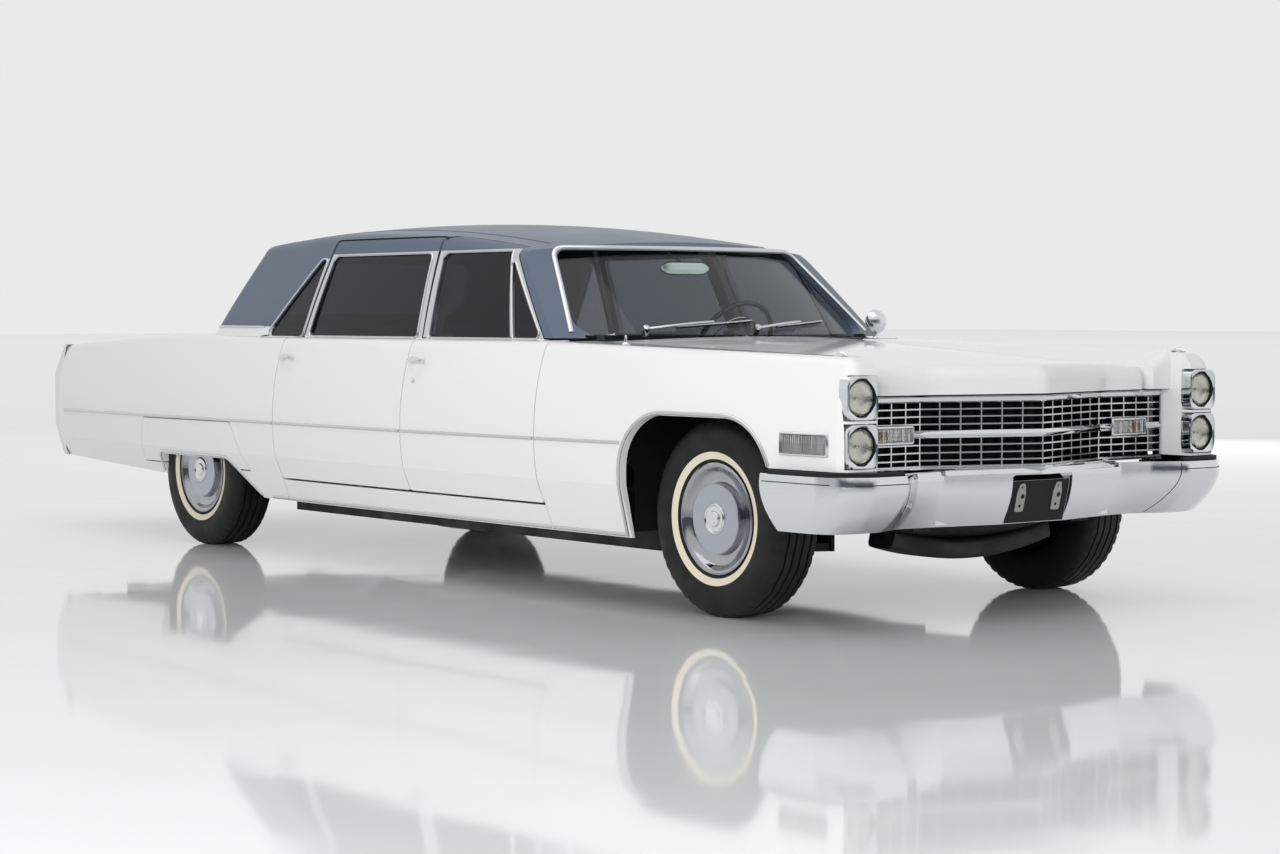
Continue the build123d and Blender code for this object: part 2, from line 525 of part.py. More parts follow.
# Rear deck under the back glass, trunk lid and tail panel
DECK_X = rear(-300)
LID_HINGE_Z = 986
DECK_HALF = TRUNK_HALF - 24
deck = CABIN_SHELL & block(rear(-600), rear(200), -DECK_HALF, DECK_HALF, CABIN_BASE_Z + 10, VINYL_EDGE_Z)
shelf = [(DECK_X, 962), (DECK_X, 990), (rear(-150), 998), (rear(-150), 962)]
deck += prism_xz(shelf, -DECK_HALF, DECK_HALF) - greenhouse(10)
for y in (80 - DECK_HALF, DECK_HALF - 80):
    deck += Pos(DECK_X - LID_GAP / 2, y, LID_HINGE_Z) * (Rot(90, 0, 0) * Cylinder(LID_GAP / 2 - SEAT_GAP, 90))
    deck += Pos(0, y, LID_HINGE_Z) * block(DECK_X - LID_GAP / 2, DECK_X + 6, -45, 45, -2, 2)
keep("rear_deck", deck.solid())


def lid_form(inset):
    """The trunk lid's closed form with its turned-down rear face, or a form that far inside it."""
    rear_edge = TAIL_MID_X - 20
    line = [(DECK_X - LID_GAP, 540), (DECK_X - LID_GAP, 990 - inset), (TAIL_TOP_X + 20, 936 - inset, 60)]
    line += [(rear_edge + inset, 800, 60), (rear_edge + inset, 640 if inset == 0 else 540)]
    return prism_xz(line[::-1], -TRUNK_HALF + LID_GAP / 2, TRUNK_HALF - LID_GAP / 2)


lid = lid_form(0) - lid_form(26)
lid -= block(-5000, TAIL_MID_X + 300, -OUT, OUT, 0, 640)
lid -= block(TAIL_MID_X + 200, 5000, -OUT, OUT, 0, 900)
keep("trunk_lid", lid.solid())
tail = block(TAIL_MID_X - 8, TAIL_MID_X + 18, -TRUNK_HALF, TRUNK_HALF, 420, 632)
keep("tail_panel", tail)

# Grille: a prow of upright vanes and level bars, stepped back at the sides
PROW_X, STEP_X, WING_X = front(752), front(600), front(600)
GRILLE_DEPTH = 34
path = [(PROW_X, 0), (STEP_X, STEP_Y), (WING_X, POD_INNER_Y)]
ribbon = path + [(x - GRILLE_DEPTH, y) for x, y in path[::-1]]
ribbon_solid = prism_xy(ribbon, GRILLE_BOTTOM_Z, GRILLE_TOP_Z)
levels = [(GRILLE_BOTTOM_Z, 8), (572, 5), (599, 5), (626, 5), (653, 26), (699, 5), (726, 5), (752, 5)]
levels += [(GRILLE_TOP_Z - 14, 14)]
bars = [block(STEP_X - 200, PROW_X + 50, -5, POD_INNER_Y, z, z + height) for z, height in levels]
vane_y = [77 * i for i in range(0, 6)] + [STEP_Y + 4 + 68 * i for i in range(0, 6)]
vanes = [block(STEP_X - 200, PROW_X + 50, y - 2.5, y + 2.5, GRILLE_BOTTOM_Z, GRILLE_TOP_Z) for y in vane_y]
half_grille = ribbon_solid & (bars.pop() + bars + vanes)
keep("grille", (half_grille + other_side(half_grille)).solid())

# Front bumper: barrelled wrapped ends that rake back to the bottom, a prow between them and a plate recess
BUMPER_TOP = [(front(358), inboard(20)), (front(640), inboard(23), 120), (front(762), inboard(52), 90)]
BUMPER_TOP += [(front(811.5), inboard(138), 60), (front(811.5), inboard(294), 40)]
BUMPER_TOP += [(front(738), STEP_Y + 145, 60), (front(704), STEP_Y, 60), (front(778), 0, 200)]
BUMPER_LOW = [(front(425), inboard(48)), (front(590), inboard(52)), (front(662), inboard(84))]
BUMPER_LOW += [(front(690), inboard(164)), (front(684), inboard(286))]
BUMPER_LOW += [(front(630), STEP_Y + 145), (front(640), STEP_Y), (front(728), 0)]
BUMPER_LEVELS = [(BUMPER_TOP_Z, 0.05), (500, 0.0), (430, 0.24), (BUMPER_BOTTOM_Z, 1.0)]
BUMPER_WALL = 32


def bumper_form(setback, over):
    """Plan outlines lofted between top and bottom lines, drawn back by a setback and taller by a margin."""
    loops = []
    for z, share in BUMPER_LEVELS:
        rise = over if z == BUMPER_TOP_Z else -over if z == BUMPER_BOTTOM_Z else 0
        half = []
        for (x0, y0, *radius), (x1, y1) in zip(BUMPER_TOP, BUMPER_LOW):
            x, y = x0 + (x1 - x0) * share, y0 + (y1 - y0) * share
            half.append((x - setback, y - (setback if y > inboard(110) else 0), *radius))
        if setback:
            half[0] = (front(250), half[0][1])
        ring = half + [(x, -y, *radius) for x, y, *radius in half[-2::-1]]
        loops.append(Pos(0, 0, z + rise) * rounded_face(ring))
    return loft(loops)


bumper = bumper_form(0, 0) - bumper_form(BUMPER_WALL, 1)
bumper -= block(-5000, 5000, -STEP_Y, STEP_Y, 526, 600)
plate_back = [(front(690), 335), (front(900), 335), (front(900), 520), (front(728), 520)]
bumper -= prism_xz(plate_back, -152, 152)
bracket = prism_xz([(front(672), 345), (front(706), 345), (front(742), 498), (front(708), 498)], -152, 152)
bumper += bracket
for y in (-89, 89):
    for z in (361, 482):
        bumper -= Pos(front(700), y, z) * (Rot(0, 90, 0) * Cylinder(4, 300))
for side in (-1, 1):
    bumper += Pos(0, side * 405, 0) * block(front(560), front(660), -35, 35, 350, 398)
keep("front_bumper", bumper.solid())

# Parking lamps on the grille bar
parking = [Pos(WING_X + 9, side * (STEP_Y + 150), 667) * Box(18, 178, 50) for side in (-1, 1)]
keep("parking_lamps", Compound(children=[p.solid() for p in parking]))

# Rear bumper: a low bar between upright blades that cap the quarter panels and carry the tail lamps
BLADE_INNER_Y, BLADE_OUTER_Y, BLADE_EDGE = inboard(320), inboard(130), 16
blade_side = [(TAIL_TOP_X - 14, 364), (TAIL_MID_X - 14, 505), (TAIL_MID_X - 14, 810), (TAIL_TOP_X - 14, 931)]
blade_side += [(TAIL_TOP_X - 44, 931), (TAIL_X, 790, 40), (TAIL_X, 525, 40), (TAIL_TOP_X - 60, 364)]
blade = prism_xz(blade_side, BLADE_INNER_Y, BLADE_OUTER_Y)
rims = [e for e in blade.edges() if e.center().X < TAIL_TOP_X - 45 and e.bounding_box().size.Y < 1]
blade = fillet(rims, BLADE_EDGE)
LAMP_RECESS = 14
lamp_y = (BLADE_INNER_Y + 55, BLADE_OUTER_Y - 55)
blade -= block(TAIL_X - 5, TAIL_X + LAMP_RECESS, lamp_y[0], lamp_y[1], 560, 765)
lens = block(TAIL_X + 2, TAIL_X + LAMP_RECESS, lamp_y[0] + SEAT_GAP, lamp_y[1] - SEAT_GAP, 560.4, 764.6)
lens = fillet(lens.faces().sort_by(Axis.X)[0].edges(), 6)
keep("tail_lamps", Compound(children=[lens.solid(), other_side(lens).solid()]))
bar_side = [(TAIL_MID_X - 14, 380), (TAIL_MID_X - 14, 520), (TAIL_X + 30, 500, 40), (TAIL_X + 30, 400, 40)]
bumper_rear = blade + other_side(blade) + prism_xz(bar_side, -BLADE_INNER_Y - 10, BLADE_INNER_Y + 10)
for side in (-1, 1):
    bumper_rear += Pos(0, side * 540, 0) * block(TAIL_MID_X - 20, rear(-1380), -35, 35, 382, 398)
keep("rear_bumper", bumper_rear.solid())

# Perimeter frame, floor, inner fenders and side frames
RAIL_Y, RAIL_W, RAIL_Z0, RAIL_Z1 = HALF_TRACK - 94, 80, 190, 278
frame_half = block(rear(560), front(-560), RAIL_Y - RAIL_W, RAIL_Y, RAIL_Z0, RAIL_Z1)
front_turn = [(front(-640), RAIL_Y), (front(-640), RAIL_Y - RAIL_W), (front(-470), 360)]
front_turn += [(front(-470), 450), (front(-560), RAIL_Y)]
front_rise = [(front(-480), RAIL_Z0), (front(-480), RAIL_Z1), (front(-300), 400), (front(560), 400)]
front_rise += [(front(560), 320), (front(-280), 320)]
rear_turn = [(rear(640), RAIL_Y), (rear(640), RAIL_Y - RAIL_W), (rear(430), 500), (rear(430), 580)]
rear_turn += [(rear(560), RAIL_Y)]
rear_rise = [(rear(440), RAIL_Z0), (rear(440), RAIL_Z1), (rear(240), 480), (rear(-260), 480)]
rear_rise += [(rear(-520), 400), (rear(-1380), 400), (rear(-1380), 320), (rear(-540), 320)]
rear_rise += [(rear(-280), 402), (rear(220), 402)]
frame_half += prism_xy(front_turn, RAIL_Z0, RAIL_Z1) + prism_xz(front_rise, 360, 450)
frame_half += prism_xy(rear_turn, RAIL_Z0, RAIL_Z1) + prism_xz(rear_rise, 500, 580)
members = [(front(-250), front(-130), 330, 400), (front(300), front(380), 330, 400)]
members += [(front(-1500), front(-1400), 195, 250), (rear(900), rear(1000), 195, 260)]
members += [(rear(-1380), rear(-1300), 330, 400)]
chassis = frame_half + other_side(frame_half)
for x0, x1, z0, z1 in members:
    reach = RAIL_Y - 10 if z0 < 300 else 510
    reach = 370 if x0 > front(-600) else reach
    chassis += block(x0, x1, -reach, reach, z0, z1)
keep("chassis_frame", chassis.solid())

floor_line = [(front(-905), 430), (front(-1130), 300), (rear(630), 300), (rear(430), 510), (rear(-460), 510)]
floor_line += [(rear(-560), 430), (TAIL_MID_X + 18, 430)]
floor_line += [(x, z - 22) for x, z in floor_line[::-1]]
SILL_INNER_Y = inboard(275)
floor = prism_xz(floor_line, 100 - RAIL_Y, RAIL_Y - 100)
floor += block(rear(690), front(-1120), SEAT_GAP - SILL_INNER_Y, SILL_INNER_Y - SEAT_GAP, 278, 300)
tunnel = prism_yz([(-190, 290), (-130, 410), (130, 410), (190, 290)], rear(480), front(-1060))
tunnel_hollow = prism_yz([(-186, 250), (-112, 392), (112, 392), (186, 250)], rear(470), front(-900))
floor = floor + tunnel - tunnel_hollow
keep("floor_pan", floor.solid())

apron = prism_xz([(front(-880), 430), (front(-880), 900), (front(540), 830), (front(540), 430)], 455, 470)
apron -= block(front(-175), front(175), 440, 480, 400, 500)
shelf = [(front(-880), 886), (front(-880), 900), (front(540), 832), (front(540), 818)]
apron = apron + prism_xz(shelf, 455, SILL_INNER_Y)
support = block(front(520), front(540), -470, 470, 420, 830)
stops = hood_bar(HOOD_WALL + SEAT_GAP) & (Pos(front(530), 300, 800) * Cylinder(9, 400))
stops -= block(-5000, 5000, -OUT, OUT, 0, 825)
keep("inner_fenders", (apron + other_side(apron) + support + stops + other_side(stops)).solid())

DOOR_INNER = body_flank(DOOR_WALL + SEAT_GAP, SILL_BOTTOM_Z - 20)
POST_INNER = body_flank(DOOR_WALL + 60, SILL_BOTTOM_Z - 60)
post_ring = DOOR_INNER - POST_INNER
sill = FLANK - body_flank(70, SILL_BOTTOM_Z - 30)
sill &= block(rear(690), front(-484), WELL_Y, OUT, 255, DOOR_BOTTOM_Z - 5)
sill &= block(C_CUT_X - SHUT_GAP / 2 + 4, A_CUT_X + SHUT_GAP / 2 - 4, 0, OUT, 0, 1000)
sill += block(C_CUT_X, A_CUT_X, SILL_INNER_Y, inboard(130), 262, DOOR_BOTTOM_Z - 8)
posts = [(A_CUT_X - 40, A_CUT_X + 40), (B_CUT_X - 50, B_CUT_X + 30), (C_CUT_X - 30, C_CUT_X + 60)]
for x0, x1 in posts:
    sill += post_ring & block(x0, x1, 500, OUT, 300, 1012 if x0 == B_CUT_X - 50 else 935)
ends = [(FENDER_WALL, A_CUT_X + 12, A_CUT_X + 40), (QUARTER_WALL, C_CUT_X - 30, C_CUT_X - 10)]
for wall, x0, x1 in ends:
    sill += (body_flank(wall, SILL_BOTTOM_Z - 30) - POST_INNER) & block(x0, x1, 500, OUT, 300, 935)
pillar_ring = greenhouse(FRAME_WALL + 10) - greenhouse(FRAME_WALL + 45)
pillar = [(b_line(z) - 40, z) for z in (992, 1440)] + [(b_line(z) + 40, z) for z in (1440, 992)]
sill += pillar_ring & prism_xz(pillar, ROOF_CUT_Y, OUT)
both_sides("side_frame", sill)

# Engine, driveline, axles
engine = block(front(-700), front(80), -300, 300, 400, 820)
keep("engine_block", engine)
gearbox = [(-110, 250), (110, 250), (110, 370), (70, 380), (-70, 380), (-110, 370)]
gearbox = prism_yz(gearbox, front(-1450), front(-880))
shaft = Pos((rear(150) + front(-1450)) / 2, 0, 330) * (Rot(0, 90, 0) * Cylinder(38, front(-1450) - rear(150)))
keep("driveline", (gearbox + shaft).solid())
axle = Pos(REAR_AXLE_X, 0, TYRE_RADIUS) * (Rot(90, 0, 0) * Cylinder(42, 2 * (HALF_TRACK - 60)))
axle += Pos(REAR_AXLE_X, 0, TYRE_RADIUS) * (Rot(90, 0, 0) * Cylinder(SPINDLE_RADIUS, 2 * (HALF_TRACK - 1)))
axle += Pos(REAR_AXLE_X, 0, TYRE_RADIUS) * (Rot(0, 90, 0) * Cylinder(130, 240))
for side in (-1, 1):
    axle += Pos(REAR_AXLE_X, side * 540, 391) * Box(90, 70, 22)
keep("rear_axle", axle.solid())

arm_low = [(front(-150), 450), (front(-35), KINGPIN_Y + 23), (front(35), KINGPIN_Y + 23), (front(150), 450)]
arm_high = [(front(-100), 450), (front(-30), KINGPIN_Y + 19), (front(30), KINGPIN_Y + 19), (front(100), 450)]
arms = prism_xy(arm_low, 225, 255) + block(front(-150), front(150), 450, 468, 225, 420)
arms += prism_xy(arm_high, 455, 480)
arms += block(front(-100), front(100), 450, 468, 400, 480)
keep("front_suspension", Compound(children=[arms.solid(), other_side(arms.solid())]))
upright = block(front(-32), front(32), KINGPIN_Y - 25, KINGPIN_Y + 29, 255 + SEAT_GAP, 455 - SEAT_GAP)
spindle = Pos(FRONT_AXLE_X, HALF_TRACK - 57, TYRE_RADIUS) * (Rot(90, 0, 0) * Cylinder(SPINDLE_RADIUS, 112))
both_sides("steering_knuckle", (upright + spindle).solid())

# Wheels: a tyre with a shallow tread band, and a pressed wheel with its cover
half_w = TYRE_WIDTH / 2
tyre_section = [(RIM_RADIUS - 8, -78), (RIM_RADIUS + 20, -98, 20), (285, -half_w, 60), (338, -92, 18)]
tyre_section += [(TYRE_RADIUS, -78, 6), (TYRE_RADIUS, 78, 6), (338, 92, 18), (285, half_w, 60)]
tyre_section += [(RIM_RADIUS + 20, 98, 20)]
tyre_section += [(RIM_RADIUS - 8, 78)]
bore = SPINDLE_RADIUS + 0.3
wheel_section = [(0, 0), (bore, 0), (bore, -22), (66, -22), (66, -34), (120, -34)]
wheel_section += [(170, -76), (RIM_RADIUS - 8.4, -84), (RIM_RADIUS - 8.4, 84), (192, 96, 3), (176, 80, 12)]
wheel_section += [(156, 62, 10), (131, 62, 4), (127, 95, 3), (60, 98), (54, 104, 3), (0, 106)]


def turned(section):
    """A shape turned about the wheel's axle line from (radius, outward) corners, standing at the origin."""
    plane = Plane(origin=(0, 0, 0), x_dir=(0, 0, 1), z_dir=(1, 0, 0))
    corners = [(radius, -out, *corner) for radius, out, *corner in section]
    return revolve(plane * rounded_face(corners), Axis.Y)


TYRE, WHEEL = turned(tyre_section), turned(wheel_section)
for end, x in (("front", FRONT_AXLE_X), ("rear", REAR_AXLE_X)):
    place = Pos(x, HALF_TRACK, TYRE_RADIUS)
    both_sides("tyre_" + end, place * TYRE)
    both_sides("wheel_" + end, place * WHEEL)

# Cabin: dashboard, steering wheel, bench seats
dash_side = [(front(-905), 720), (front(-905), 925), (front(-1010), 934, 20), (front(-1180), 980, 40)]
dash_side += [(front(-1240), 930, 30), (front(-1200), 760, 20), (front(-1080), 720)]
COLUMN_LEAN = 62
hub = Vector(front(-1420), 385, 960)
column_axis = (-sin(radians(COLUMN_LEAN)), 0, cos(radians(COLUMN_LEAN)))
wheel_plane = Plane(origin=hub, x_dir=(0, 1, 0), z_dir=column_axis)
column = wheel_plane * (Pos(0, 0, -95 - SEAT_GAP - 130) * Cylinder(28, 260))
keep("dashboard", (prism_xz(dash_side, -inboard(290), inboard(290)) + column).solid())
rim = Torus(196, 11) + Box(380, 26, 12) + Pos(0, 0, -40) * Cylinder(34, 110)
keep("steering_wheel", wheel_plane * rim)


def bench(x0, z0, half, depth, height, lean):
    """A bench seat facing forward: a cushion on a plinth and a leaning back, with its front edge at x0."""
    cushion = [(x0 - depth, z0), (x0 - 30, z0), (x0, z0 + 160, 40), (x0 - depth, z0 + 130)]
    back = [(x0 - depth + 130, z0 + 90, 30), (x0 - depth + 130 - lean, z0 + height, 50)]
    back += [(x0 - depth - 40 - lean, z0 + height, 50), (x0 - depth - 40, z0)]
    back += [(x0 - depth + 130, z0)]
    return prism_xz(cushion, -half, half) + prism_xz(back, -half, half)


seat_cut = [(-200, 250), (-200, 300), (-135, 415), (135, 415), (200, 300), (200, 250)]
seat_cut = prism_yz(seat_cut, rear(475), front(-1000))
keep("front_seat", (bench(front(-1480), 300, inboard(320), 560, 620, 90) - seat_cut).solid())
rear_side = [(rear(632), 300), (rear(735), 300), (rear(765), 560, 40), (rear(260), 540, 20)]
rear_side += [(rear(140), 1000, 50)]
rear_side += [(rear(-20), 1000, 50), (rear(90), 510), (rear(430), 510)]
keep("rear_seat", (prism_xz(rear_side, -inboard(420), inboard(420)) - seat_cut).solid())

os.makedirs("parts", exist_ok=True)
for name, piece in PARTS.items():
    export_step(piece, os.path.join("parts", name + ".step"))
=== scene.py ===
import math

import bmesh
import bpy
import numpy as np
from bpy.props import FloatProperty, FloatVectorProperty, IntProperty, PointerProperty
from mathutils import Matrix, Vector


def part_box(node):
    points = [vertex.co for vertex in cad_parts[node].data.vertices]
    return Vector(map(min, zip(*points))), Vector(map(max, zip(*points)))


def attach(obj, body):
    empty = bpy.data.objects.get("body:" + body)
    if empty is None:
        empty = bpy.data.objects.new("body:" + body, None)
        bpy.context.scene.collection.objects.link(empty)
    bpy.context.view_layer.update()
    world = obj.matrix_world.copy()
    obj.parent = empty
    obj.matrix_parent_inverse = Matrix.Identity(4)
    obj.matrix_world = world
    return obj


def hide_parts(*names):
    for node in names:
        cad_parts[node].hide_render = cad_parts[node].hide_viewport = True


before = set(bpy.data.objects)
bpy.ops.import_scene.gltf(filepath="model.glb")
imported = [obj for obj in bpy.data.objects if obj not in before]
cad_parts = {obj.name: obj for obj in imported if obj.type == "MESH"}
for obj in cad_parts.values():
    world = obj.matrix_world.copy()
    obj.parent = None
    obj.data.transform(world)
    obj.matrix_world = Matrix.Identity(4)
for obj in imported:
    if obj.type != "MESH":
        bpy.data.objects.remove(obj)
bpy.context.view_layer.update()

bl_info = {
    "name": "Formal limousine dressing",
    "version": (1, 0, 0),
    "blender": (4, 5, 0),
    "location": "View3D > Sidebar > Limousine",
    "description": "Finishes and trim for a long formal car, laid on its packed solids",
    "category": "Add Mesh",
}


def linear(hex_colour):
    """An sRGB hex colour as linear red, green, blue and alpha."""
    srgb = np.array([int(hex_colour[i:i + 2], 16) for i in (1, 3, 5)]) / 255
    bright = ((srgb + 0.055) / 1.055) ** 2.4
    return (*np.where(srgb <= 0.04045, srgb / 12.92, bright), 1.0)


def middle(node):
    """Centre of a solid's box."""
    low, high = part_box(node)
    return np.array((low + high) / 2)


# Places from the frame
FRONT_X, TRACK_Y, AXLE_Z = middle("tyre_front_left")
REAR_X = middle("tyre_rear_left")[0]
TYRE_R = AXLE_Z
# Half the gap between neighbouring panels
SHUT_HALF = 0.0035
A_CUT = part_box("door_front_left")[1].x + SHUT_HALF
B_CUT = FRONT_X - 1.890
C_CUT = FRONT_X - 2.945
BELT_Z = 0.985
GLASS_LOW, GLASS_HIGH = 0.993, 1.340
SIDES = (("left", 1), ("right", -1))
# Where lines start that are laid on the body: beside it, beyond its ends and above it
FAR_SIDE, FAR_END, FAR_ABOVE = 1.5, 4.0, 3.0
# Laying lines on triangles: flat ones skipped, slack at edges, tests at once, share that may miss
FLAT, SLACK, BATCH, MISSES = 1e-12, 1e-5, 1_000_000, 0.12


def front(distance):
    """X of a place measured ahead of the front axle."""
    return FRONT_X + distance


def rear(distance):
    """X of a place measured ahead of the rear axle."""
    return REAR_X + distance


# Shapes: a shape is a pair of points (n, 3) and a list of arrays of corner numbers


def cells(rows, cols, wrap_rows=False, wrap_cols=False):
    """Corner numbers of a grid's cells; wrapping joins its last line of points to its first."""
    r, c = np.meshgrid(np.arange(rows - (not wrap_rows)), np.arange(cols - (not wrap_cols)), indexing="ij")
    below, beside = (r + 1) % rows, (c + 1) % cols
    return np.stack([r * cols + c, r * cols + beside, below * cols + beside, below * cols + c],
                    -1).reshape(-1, 4)


def skinned(points, wrap_rows=False, wrap_cols=False, capped=False):
    """A grid of points (rows, columns, 3) as a surface, with its first and last rows closed if capped."""
    rows, cols = points.shape[:2]
    faces = [cells(rows, cols, wrap_rows, wrap_cols)]
    if capped:
        faces += [np.arange(cols)[None, ::-1], (rows - 1) * cols + np.arange(cols)[None]]
    return points.reshape(-1, 3), faces


def joined(*shapes):
    """Several shapes as one."""
    starts = np.cumsum([0] + [len(points) for points, _ in shapes])
    faces = [block + start for (_, blocks), start in zip(shapes, starts) for block in blocks]
    return np.concatenate([points for points, _ in shapes]), faces


def mirrored(shape):
    """The shape on the car's other side, with its faces turned back outwards."""
    points, faces = shape
    return points * (1, -1, 1), [block[:, ::-1] for block in faces]


def at(*axes):
    """Points from one number or array for each axis; numbers and lines are spread over the largest array."""
    return np.stack(np.broadcast_arrays(*(np.asarray(axis, float) for axis in axes)), -1)


def unit(vectors):
    """Vectors scaled to length one."""
    return vectors / np.maximum(np.linalg.norm(vectors, axis=-1, keepdims=True), 1e-9)


def swept(path, outward, profile, closed=False, swell=1.0):
    """A closed profile (across, out) carried along a path. Out is the outward direction squared to the path
    and across is square to both; swell scales the profile at each point of the path."""
    along = unit(np.roll(path, -1, 0) - np.roll(path, 1, 0) if closed else np.gradient(path, axis=0))
    outward = np.broadcast_to(np.asarray(outward, float), path.shape)
    out = unit(outward - (outward * along).sum(1, keepdims=True) * along)
    across = np.cross(along, out)
    size = np.broadcast_to(np.asarray(swell, float).reshape(-1, 1, 1), (len(path), 1, 1))
    local = profile[None] * size
    points = path[:, None] + across[:, None] * local[..., :1] + out[:, None] * local[..., 1:]
    return skinned(points, wrap_rows=closed, wrap_cols=True, capped=not closed)


def bead(width, height, sink=0.002, count=9):
    """Half an ellipse standing on a foot sunk below the surface."""
    t = np.linspace(0, np.pi, count)
    top = np.stack([width / 2 * np.cos(t), height * np.sin(t)], 1)
    return np.concatenate([top, [(-width / 2, -sink), (width / 2, -sink)]])


def rod(radius, count=12, flat=1.0):
    """A circle, or an ellipse lower by flat."""
    t = np.arange(count) * 2 * np.pi / count
    return np.stack([radius * np.cos(t), radius * flat * np.sin(t)], 1)


def plate(width, height, corner, count=4):
    """A rectangle with round corners, as (across, out) points: each corner is a quarter circle."""
    t = np.linspace(0, np.pi / 2, count)
    quarter = np.stack([np.cos(t), np.sin(t)], 1) * corner
    turns = [np.array(((c, s), (-s, c))) for c, s in ((1, 0), (0, 1), (-1, 0), (0, -1))]
    hub = np.array((width / 2 - corner, height / 2 - corner))
    signs = ((1, 1), (-1, 1), (-1, -1), (1, -1))
    return np.concatenate([quarter @ turn + hub * sign for turn, sign in zip(turns, signs)])


def turned(profile, count, place, axis, start=(0, 0, 1), ripple=None):
    """A profile (radius, along) turned about an axis through a place; ripple(radius, angle) is added along
    the axis."""
    axis = unit(np.asarray(axis, float))
    first = unit(np.asarray(start, float) - axis * np.dot(start, axis))
    second = np.cross(axis, first)
    angle = np.arange(count) * 2 * np.pi / count
    radius, along = np.asarray(profile, float).T
    spoke = np.cos(angle)[:, None] * first + np.sin(angle)[:, None] * second
    lift = along[None] + (ripple(radius[None], angle[:, None]) if ripple else 0)
    points = np.asarray(place) + spoke[:, None] * radius[None, :, None] + axis * lift[..., None]
    return skinned(points, wrap_rows=True)


def rounded_line(corners, closed=False, step=0.012):
    """Even points along straight runs joined by tangent arcs, from corners (a, b, radius)."""
    spots = np.array([(c[0], c[1]) for c in corners], float)
    radii = [c[2] if len(c) > 2 else 0 for c in corners]
    run = []
    for i, (spot, radius) in enumerate(zip(spots, radii)):
        if radius == 0 or (not closed and i in (0, len(spots) - 1)):
            run.append(spot[None])
            continue
        u, v = unit(spots[i - 1] - spot), unit(spots[(i + 1) % len(spots)] - spot)
        half = math.acos(np.clip(u @ v, -1, 1)) / 2
        hub = spot + unit(u + v) * radius / math.sin(half)
        a, b = spot + u * radius / math.tan(half) - hub, spot + v * radius / math.tan(half) - hub
        turn = math.pi - 2 * half
        s = np.linspace(0, 1, 9)[:, None]
        run.append(hub + (np.sin((1 - s) * turn) * a + np.sin(s * turn) * b) / math.sin(turn))
    line = np.concatenate(run + ([run[0][:1]] if closed else []))
    length = np.concatenate([[0], np.cumsum(np.linalg.norm(np.diff(line, axis=0), axis=1))])
    even = np.linspace(0, length[-1], max(3, int(length[-1] / step)) + 1)
    if closed:
        even = even[:-1]
    return np.stack([np.interp(even, length, line[:, k]) for k in (0, 1)], 1)


def grown(corners, by):
    """A closed outline drawn with each corner moved out along its bisector, so that every side moves by that
    much."""
    spots = np.array([(c[0], c[1]) for c in corners], float)
    back, ahead = unit(spots - np.roll(spots, 1, 0)), unit(np.roll(spots, -1, 0) - spots)
    area = np.sum(spots[:, 0] * np.roll(spots[:, 1], -1) - np.roll(spots[:, 0], -1) * spots[:, 1])
    sense = np.sign(area)
    n0 = sense * np.stack([back[:, 1], -back[:, 0]], 1)
    n1 = sense * np.stack([ahead[:, 1], -ahead[:, 0]], 1)
    shift = (n0 + n1) / (1 + (n0 * n1).sum(1, keepdims=True)) * by
    radii = [(c[2] if len(c) > 2 else 0) for c in corners]
    return [(a, b, max(0.004, r + by)) for (a, b), r in zip(spots + shift, radii)]


def slab(top, bottom):
    """A closed board between two grids of the same size, with their borders joined by a rim of faces."""
    rows, cols = top.shape[:2]
    count = rows * cols
    number = np.arange(count).reshape(rows, cols)
    border = np.concatenate([number[0, :-1], number[:-1, -1], number[-1, :0:-1], number[:0:-1, 0]])
    after = np.roll(border, -1)
    rim = np.stack([border, border + count, after + count, after], 1)
    faces = [cells(rows, cols), cells(rows, cols)[:, ::-1] + count, rim]
    return np.concatenate([top.reshape(-1, 3), bottom.reshape(-1, 3)]), faces


def landed_grid(nodes, points, direction):
    """A grid of points laid on some solids along a direction, row by row."""
    return np.array([land(nodes, row, direction)[0] for row in points])


def triangles(nodes):
    """Corners of the triangles of some solids, (n, 3, 3)."""
    found = []
    for name in nodes:
        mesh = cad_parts[name].data
        mesh.calc_loop_triangles()
        spots = np.empty(len(mesh.vertices) * 3)
        mesh.vertices.foreach_get("co", spots)
        corners = np.empty(len(mesh.loop_triangles) * 3, int)
        mesh.loop_triangles.foreach_get("vertices", corners)
        found.append(spots.reshape(-1, 3)[corners.reshape(-1, 3)])
    return np.concatenate(found)


